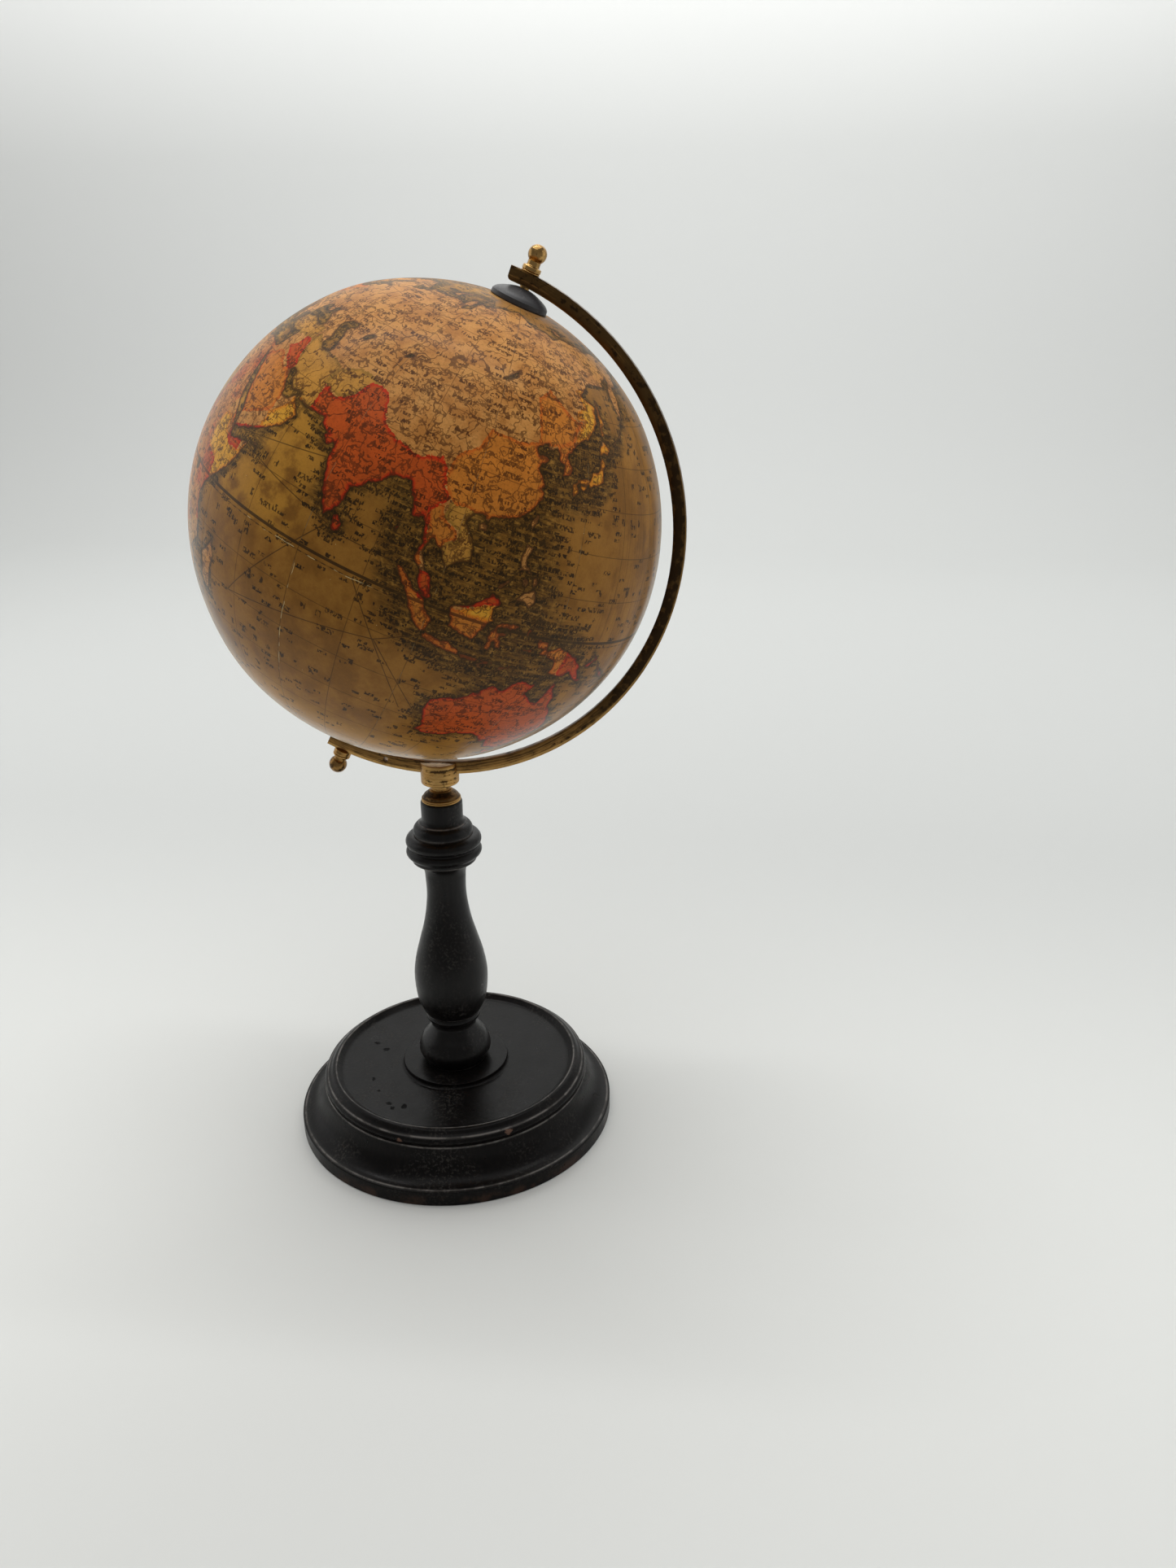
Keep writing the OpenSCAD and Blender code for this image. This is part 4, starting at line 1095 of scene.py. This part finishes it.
def merge_and_smooth(obj):
    mesh = bmesh.new()
    mesh.from_mesh(obj.data)
    bmesh.ops.remove_doubles(mesh, verts=mesh.verts, dist=0.0005 * MM)
    bmesh.ops.recalc_face_normals(mesh, faces=mesh.faces)
    mesh.to_mesh(obj.data)
    mesh.free()
    obj.data.shade_smooth()
    obj.data.set_sharp_from_angle(angle=math.radians(38))


UPRIGHT = (np.zeros(3), np.array([0, 0, 1.0]))
NORTHWARD = (CENTRE, NORTH)
SOUTHWARD = (CENTRE, -NORTH)


def turned_piece(name, node, body, material, segments, line_of_turning=UPRIGHT, shaped=None):
    """A fine lathe-turned mesh in place of a CAD node. Shaped may move its points to age them."""
    origin, axis = line_of_turning
    outline, closed = outline_of(node, origin, axis)
    line = refined(outline, closed)
    points = lathe_points(line, segments, origin, axis)
    points = (points if shaped is None else shaped(points)).tolist()
    grid = np.arange(len(points)).reshape(-1, segments)
    faces = lathe_faces(grid, closed)
    if not closed:
        close_ends(points, faces, grid, line, origin, axis)
    obj = new_object(name, points, faces)
    wear_and_highlight = np.zeros(len(points), np.float32)
    # The edge mask marks edges that are partly worn and partly painted with a highlight
    wear_and_highlight[: grid.size] = np.repeat(edge_wear(outline, closed, line), segments)
    obj.data.attributes.new("edge_wear", "FLOAT", "POINT").data.foreach_set("value", wear_and_highlight)
    merge_and_smooth(obj)
    obj.data.materials.append(material)
    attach(obj, body)
    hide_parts(node)


def uneven(points):
    """The points of a turned piece moved in and out by a hair, as old turning is never quite round."""
    swell = 0.05 * MM
    moved = points.copy()
    for i, p in enumerate(points):
        radial = Vector((p[0], p[1], 0))
        if radial.length > 1 * MM:
            moved[i] += np.array(radial.normalized()) * mathutils_noise.noise(Vector(p) * 55) * swell
    return moved


def keep_cad(node, material):
    """Keeps a CAD node as it is, with a better material."""
    mesh = frame["nodes"][node].data
    mesh.materials.clear()
    mesh.materials.append(material)


def bevelled_cad(node, material, width):
    """Keeps a CAD node, and breaks its edges so that they catch the light."""
    keep_cad(node, material)
    obj = frame["nodes"][node]
    obj.data.shade_smooth()
    weld = obj.modifiers.new("weld", "WELD")
    weld.merge_threshold = 0.002 * MM
    bevel = obj.modifiers.new("edges", "BEVEL")
    bevel.width = width
    bevel.segments = 2
    bevel.limit_method = "ANGLE"
    bevel.angle_limit = math.radians(35)
    bevel.harden_normals = True


# ---- Materials of the stand ----

# Pits in the dish's floor and chips in the rim round it: places on the base and a size, all in mm
DISH_FLOOR = 20.7
PITS = [
    (-28, -17, DISH_FLOOR, 1.1), (-24, -24, DISH_FLOOR, 0.8), (-18, -31, DISH_FLOOR, 1.1),
    (-16, -34, DISH_FLOOR, 0.8), (-12, -32, DISH_FLOOR, 1.4), (-29, 3, DISH_FLOOR, 1.2),
    (-34, 7, DISH_FLOOR, 1.2), (6, -28, DISH_FLOOR, 0.8),
]
CHIPS = [
    (-9, -50, 19, 1.4), (12, -52, 18, 1.1), (17, -49, 18, 1.3), (-15, -51, 18.5, 0.9),
    (-25, -47, 18.5, 1.1), (-45, -15, 20, 1.2), (29, -41, 20, 1.5),
]
FOOT_TOP, FOOT_FULL = 5.2 * MM, 2.0 * MM  # heights between which the foot's wear sets in

# The bar is part of a ring round a point on the column's axis, level with its rightmost place
bar_points = vertices_of("meridian_arm")
BAR_OUTER, BAR_HALF_WIDTH = bar_points[:, 0].max(), bar_points[:, 1].max()
rightmost = np.isclose(bar_points[:, 0], BAR_OUTER, atol=0.02 * MM)
RING_CENTRE = np.array([0, 0, bar_points[rightmost][:, 2].mean()])
BAR_INNER = np.linalg.norm((bar_points - RING_CENTRE)[:, [0, 2]], axis=1).min()
PALE_BRASS, WARM_BRASS = srgb(186, 148, 90), srgb(152, 114, 64)
DARK_BRASS, PATINA, BRONZE = srgb(88, 66, 38), srgb(50, 38, 26), srgb(110, 84, 50)


def ebonised_wood(name, specular):
    """Satin black polish, chipped in places, with fine turning marks and dust, and pale proud edges that are
    partly worn polish and partly a painted highlight.
    """
    n = Nodes(name)
    x, y, z = n.parts(n.place)[:3]
    ragged = n.times(n.centred(n.noise(700, rough=0.6)), 3.0 * MM)
    pits = n.marks_at(PITS, ragged)
    chips = n.marks_at(CHIPS, ragged)
    patches = n.step(n.noise(150, detail=5, rough=0.65), 0.42, 0.58)
    worn_and_highlit_edges = n.times(n.attribute("edge_wear"), n.plus(0.35, n.times(patches, 0.65)))
    foot = n.step(z, FOOT_TOP, FOOT_FULL)
    foot_wear = n.times(foot, n.step(n.noise(110, detail=5, rough=0.6), 0.48, 0.64))
    dust = n.times(n.step(n.noise(70), 0.42, 0.7), n.step(n.noise(1100, detail=2), 0.50, 0.66))
    grain = n.noise(1.0, n.stretched(n.place, (900, 900, 60)))
    tone = n.mix(n.step(grain, 0.35, 0.7), srgb(10, 9, 9), srgb(17, 14, 13))
    tone = n.mix(n.times(dust, 0.16), tone, srgb(110, 106, 100))
    # Pale grey on the proud edges: partly worn polish, partly a painted highlight
    tone = n.mix(n.times(worn_and_highlit_edges, 0.75), tone, srgb(124, 120, 116))
    tone = n.mix(n.times(foot_wear, 0.40), tone, srgb(80, 58, 46))
    tone = n.mix(n.times(chips, 0.6), tone, srgb(122, 94, 80))
    # Painted shade: the pits are darkened almost to black, as shade in their hollows
    n.colour(n.mix(n.times(pits, 0.85), tone, srgb(4, 4, 4)))
    polish = n.plus(0.21, n.times(n.noise(140, detail=5), 0.20))
    n.roughness(n.plus(polish, n.times(dust, 0.25), n.times(chips, 0.2), n.times(pits, 0.4)))
    rings = n.noise(1.0, n.vector(n.times(n.length(x, y), 2600), n.times(z, 2600), 0.0), 2.0)
    leather = n.noise(620, detail=4, rough=0.6)
    height = n.plus(n.times(rings, 0.22), n.times(leather, 0.6), n.times(chips, -1.0), n.times(pits, -3.0))
    n.normal(n.bump(height, 0.14 * MM, 0.6))
    n.shader.inputs["Specular IOR Level"].default_value = specular
    return n.material


def unscratched(n):
    """The plain place, over which the scratches' noise hardly changes from end to end of a pin."""
    return n.place


def round_scratches(n):
    """Scratches that run round the upright axis."""
    x, y, z = n.parts(n.place)[:3]
    return n.vector(n.times(n.length(x, y), 2600), n.times(z, 3400), n.times(n.math("ARCTAN2", y, x), 1.2))


def along_bar(n):
    """Scratches that run along the meridian bar."""
    x, y, z = n.parts(n.place)[:3]
    z = n.plus(z, -RING_CENTRE[2])
    angle = n.math("ARCTAN2", z, x)
    return n.vector(n.times(n.length(x, z), 1700), n.times(y, 1700), n.times(angle, 5.0))


def no_zones(_n):
    """The same patina all over."""
    return 0.0


def bar_zones(n):
    """Darkest on the bar's upright stretch, and gold where it turns under the globe."""
    above_centre = n.plus(n.parts(n.place)[2], -RING_CENTRE[2])
    under = n.step(above_centre, -42.1 * MM, -79.1 * MM)
    head = n.step(above_centre, 60.9 * MM, 78.9 * MM)
    return n.plus(0.14, n.times(under, -0.16), n.times(head, -0.10))


def turned_edges(n):
    """1 on the proud corners of a turned piece."""
    return n.attribute("edge_wear")


def bar_edges(n):
    """1 along the edges of the bar's front and back, painted pale: partly brass worn bright, partly a painted
    highlight.
    """
    x, y, z = n.parts(n.place)[:3]
    radius = n.length(x, n.plus(z, -RING_CENTRE[2]))
    face = n.step(n.size_of(y), BAR_HALF_WIDTH - 0.30 * MM, BAR_HALF_WIDTH - 0.10 * MM)
    outer = n.step(radius, BAR_OUTER - 0.45 * MM, BAR_OUTER - 0.15 * MM)
    inner = n.step(radius, BAR_INNER + 0.45 * MM, BAR_INNER + 0.15 * MM)
    return n.times(face, n.most(outer, inner), n.plus(0.4, n.noise(260)))


def brass(name, tones, rough, patina_from, scratched=unscratched, zones=no_zones, edges=turned_edges):
    """Worn brass: pale metal going dark in clouds, with spots of patina and scratches, and pale edges that
    are partly worn bright and partly a painted highlight.
    """
    pale, dark = tones
    n = Nodes(name)
    vector = scratched(n)
    zone = zones(n)
    scratches = n.noise(1.0, vector, 4.0, 0.65)
    cloud = n.plus(n.times(n.noise(170, detail=4, rough=0.6), 0.25), n.times(scratches, 0.75), zone)
    blots = n.times(n.noise(420, rough=0.6), 0.5)
    streaks = n.times(n.noise(0.22, vector, 3.0, 0.6), 0.5)
    stain = n.plus(blots, streaks, n.times(zone, 0.25))
    spots = n.times(n.step(stain, patina_from, patina_from + 0.08), 0.88)
    tone = n.mix(n.step(cloud, 0.42, 0.55), pale, dark)
    tone = n.mix(spots, tone, PATINA)
    # Pale brass on the edges: partly metal worn bright, partly a painted highlight
    n.colour(n.mix(n.times(edges(n), 0.75), tone, PALE_BRASS))
    n.shader.inputs["Metallic"].default_value = 1.0
    n.roughness(n.plus(rough, n.times(scratches, 0.20), n.times(spots, 0.18)))
    n.normal(n.bump(n.plus(scratches, n.times(spots, 0.4)), 0.08 * MM, 0.6))
    return n.material


def dial_black():
    n = Nodes("dial_black")
    smear = n.noise(140, detail=4)
    scuffs = n.step(n.noise(1.0, n.stretched(n.place, (1500, 220, 900))), 0.60, 0.72)
    tone = n.mix(smear, srgb(34, 33, 35), srgb(52, 51, 53))
    n.colour(n.mix(n.times(scuffs, 0.4), tone, srgb(96, 94, 94)))
    n.roughness(n.plus(0.36, n.times(smear, 0.25)))
    n.normal(n.bump(n.plus(n.noise(900), n.times(scuffs, 0.5)), 0.08 * MM, 0.5))
    return n.material


def plain_wood():
    n = Nodes("plain_wood")
    grain = n.noise(1.0, n.stretched(n.place, (900, 900, 40)), 4.0)
    n.colour(n.mix(grain, srgb(150, 108, 66), srgb(190, 148, 98)))
    n.roughness(n.plus(0.55, n.times(grain, 0.2)))
    n.normal(n.bump(grain, 0.1 * MM, 0.6))
    return n.material


def papier_mache():
    n = Nodes("papier_mache")
    pulp = n.noise(420, detail=6, rough=0.7)
    n.colour(n.mix(pulp, srgb(176, 160, 128), srgb(214, 202, 172)))
    n.roughness(n.plus(0.75, n.times(pulp, 0.15)))
    n.normal(n.bump(pulp, 0.3 * MM, 0.7))
    return n.material


# ---- The stand, the pins and the inside of the globe ----


def make_wood():
    base_wood = ebonised_wood("base_wood", 0.10)
    column_wood = ebonised_wood("column_wood", 0.20)
    turned_piece("turned_base", "base", "stand", base_wood, 288, shaped=uneven)
    turned_piece("turned_column", "column", "stand", column_wood, 144, shaped=uneven)


def make_fittings():
    gold = brass("brass", (PALE_BRASS, WARM_BRASS), 0.22, 0.53, round_scratches)
    dark_bronze = brass("dark_bronze", (BRONZE, DARK_BRASS), 0.30, 0.48, round_scratches)
    turned_piece("washer", "cap_washer", "stand", gold, 96)
    turned_piece("domed_cap", "column_cap", "stand", dark_bronze, 96)
    bevelled_cad("arm_socket", gold, 0.12 * MM)
    for node in ("arm_stud", "north_bush", "south_bush"):
        keep_cad(node, gold)


def make_bar_and_pins():
    bar = brass("aged_brass", (WARM_BRASS, DARK_BRASS), 0.24, 0.52, along_bar, bar_zones, bar_edges)
    finial = brass("finial_brass", (PALE_BRASS, BRONZE), 0.12, 0.52)
    bronze = brass("bronzed_brass", (WARM_BRASS, BRONZE), 0.16, 0.49)
    bevelled_cad("meridian_arm", bar, 0.16 * MM)
    turned_piece("north_finial", "north_pin", "stand", finial, 64, NORTHWARD)
    turned_piece("south_finial", "south_pin", "stand", bronze, 64, SOUTHWARD)
    turned_piece("under_collar", "south_collar", "stand", bar, 64, SOUTHWARD)


def make_dial():
    turned_piece("domed_dial", "pole_dial", "dial", dial_black(), 96, NORTHWARD)


def make_inside():
    keep_cad("axle_post", plain_wood())
    shell = papier_mache()
    for node in ("north_shell", "south_shell"):
        keep_cad(node, shell)


# ---- Everything together ----

make_camera()
make_studio()
make_floor()
make_wood()
make_fittings()
make_bar_and_pins()
make_dial()
make_inside()
make_gores()
make_calottes()
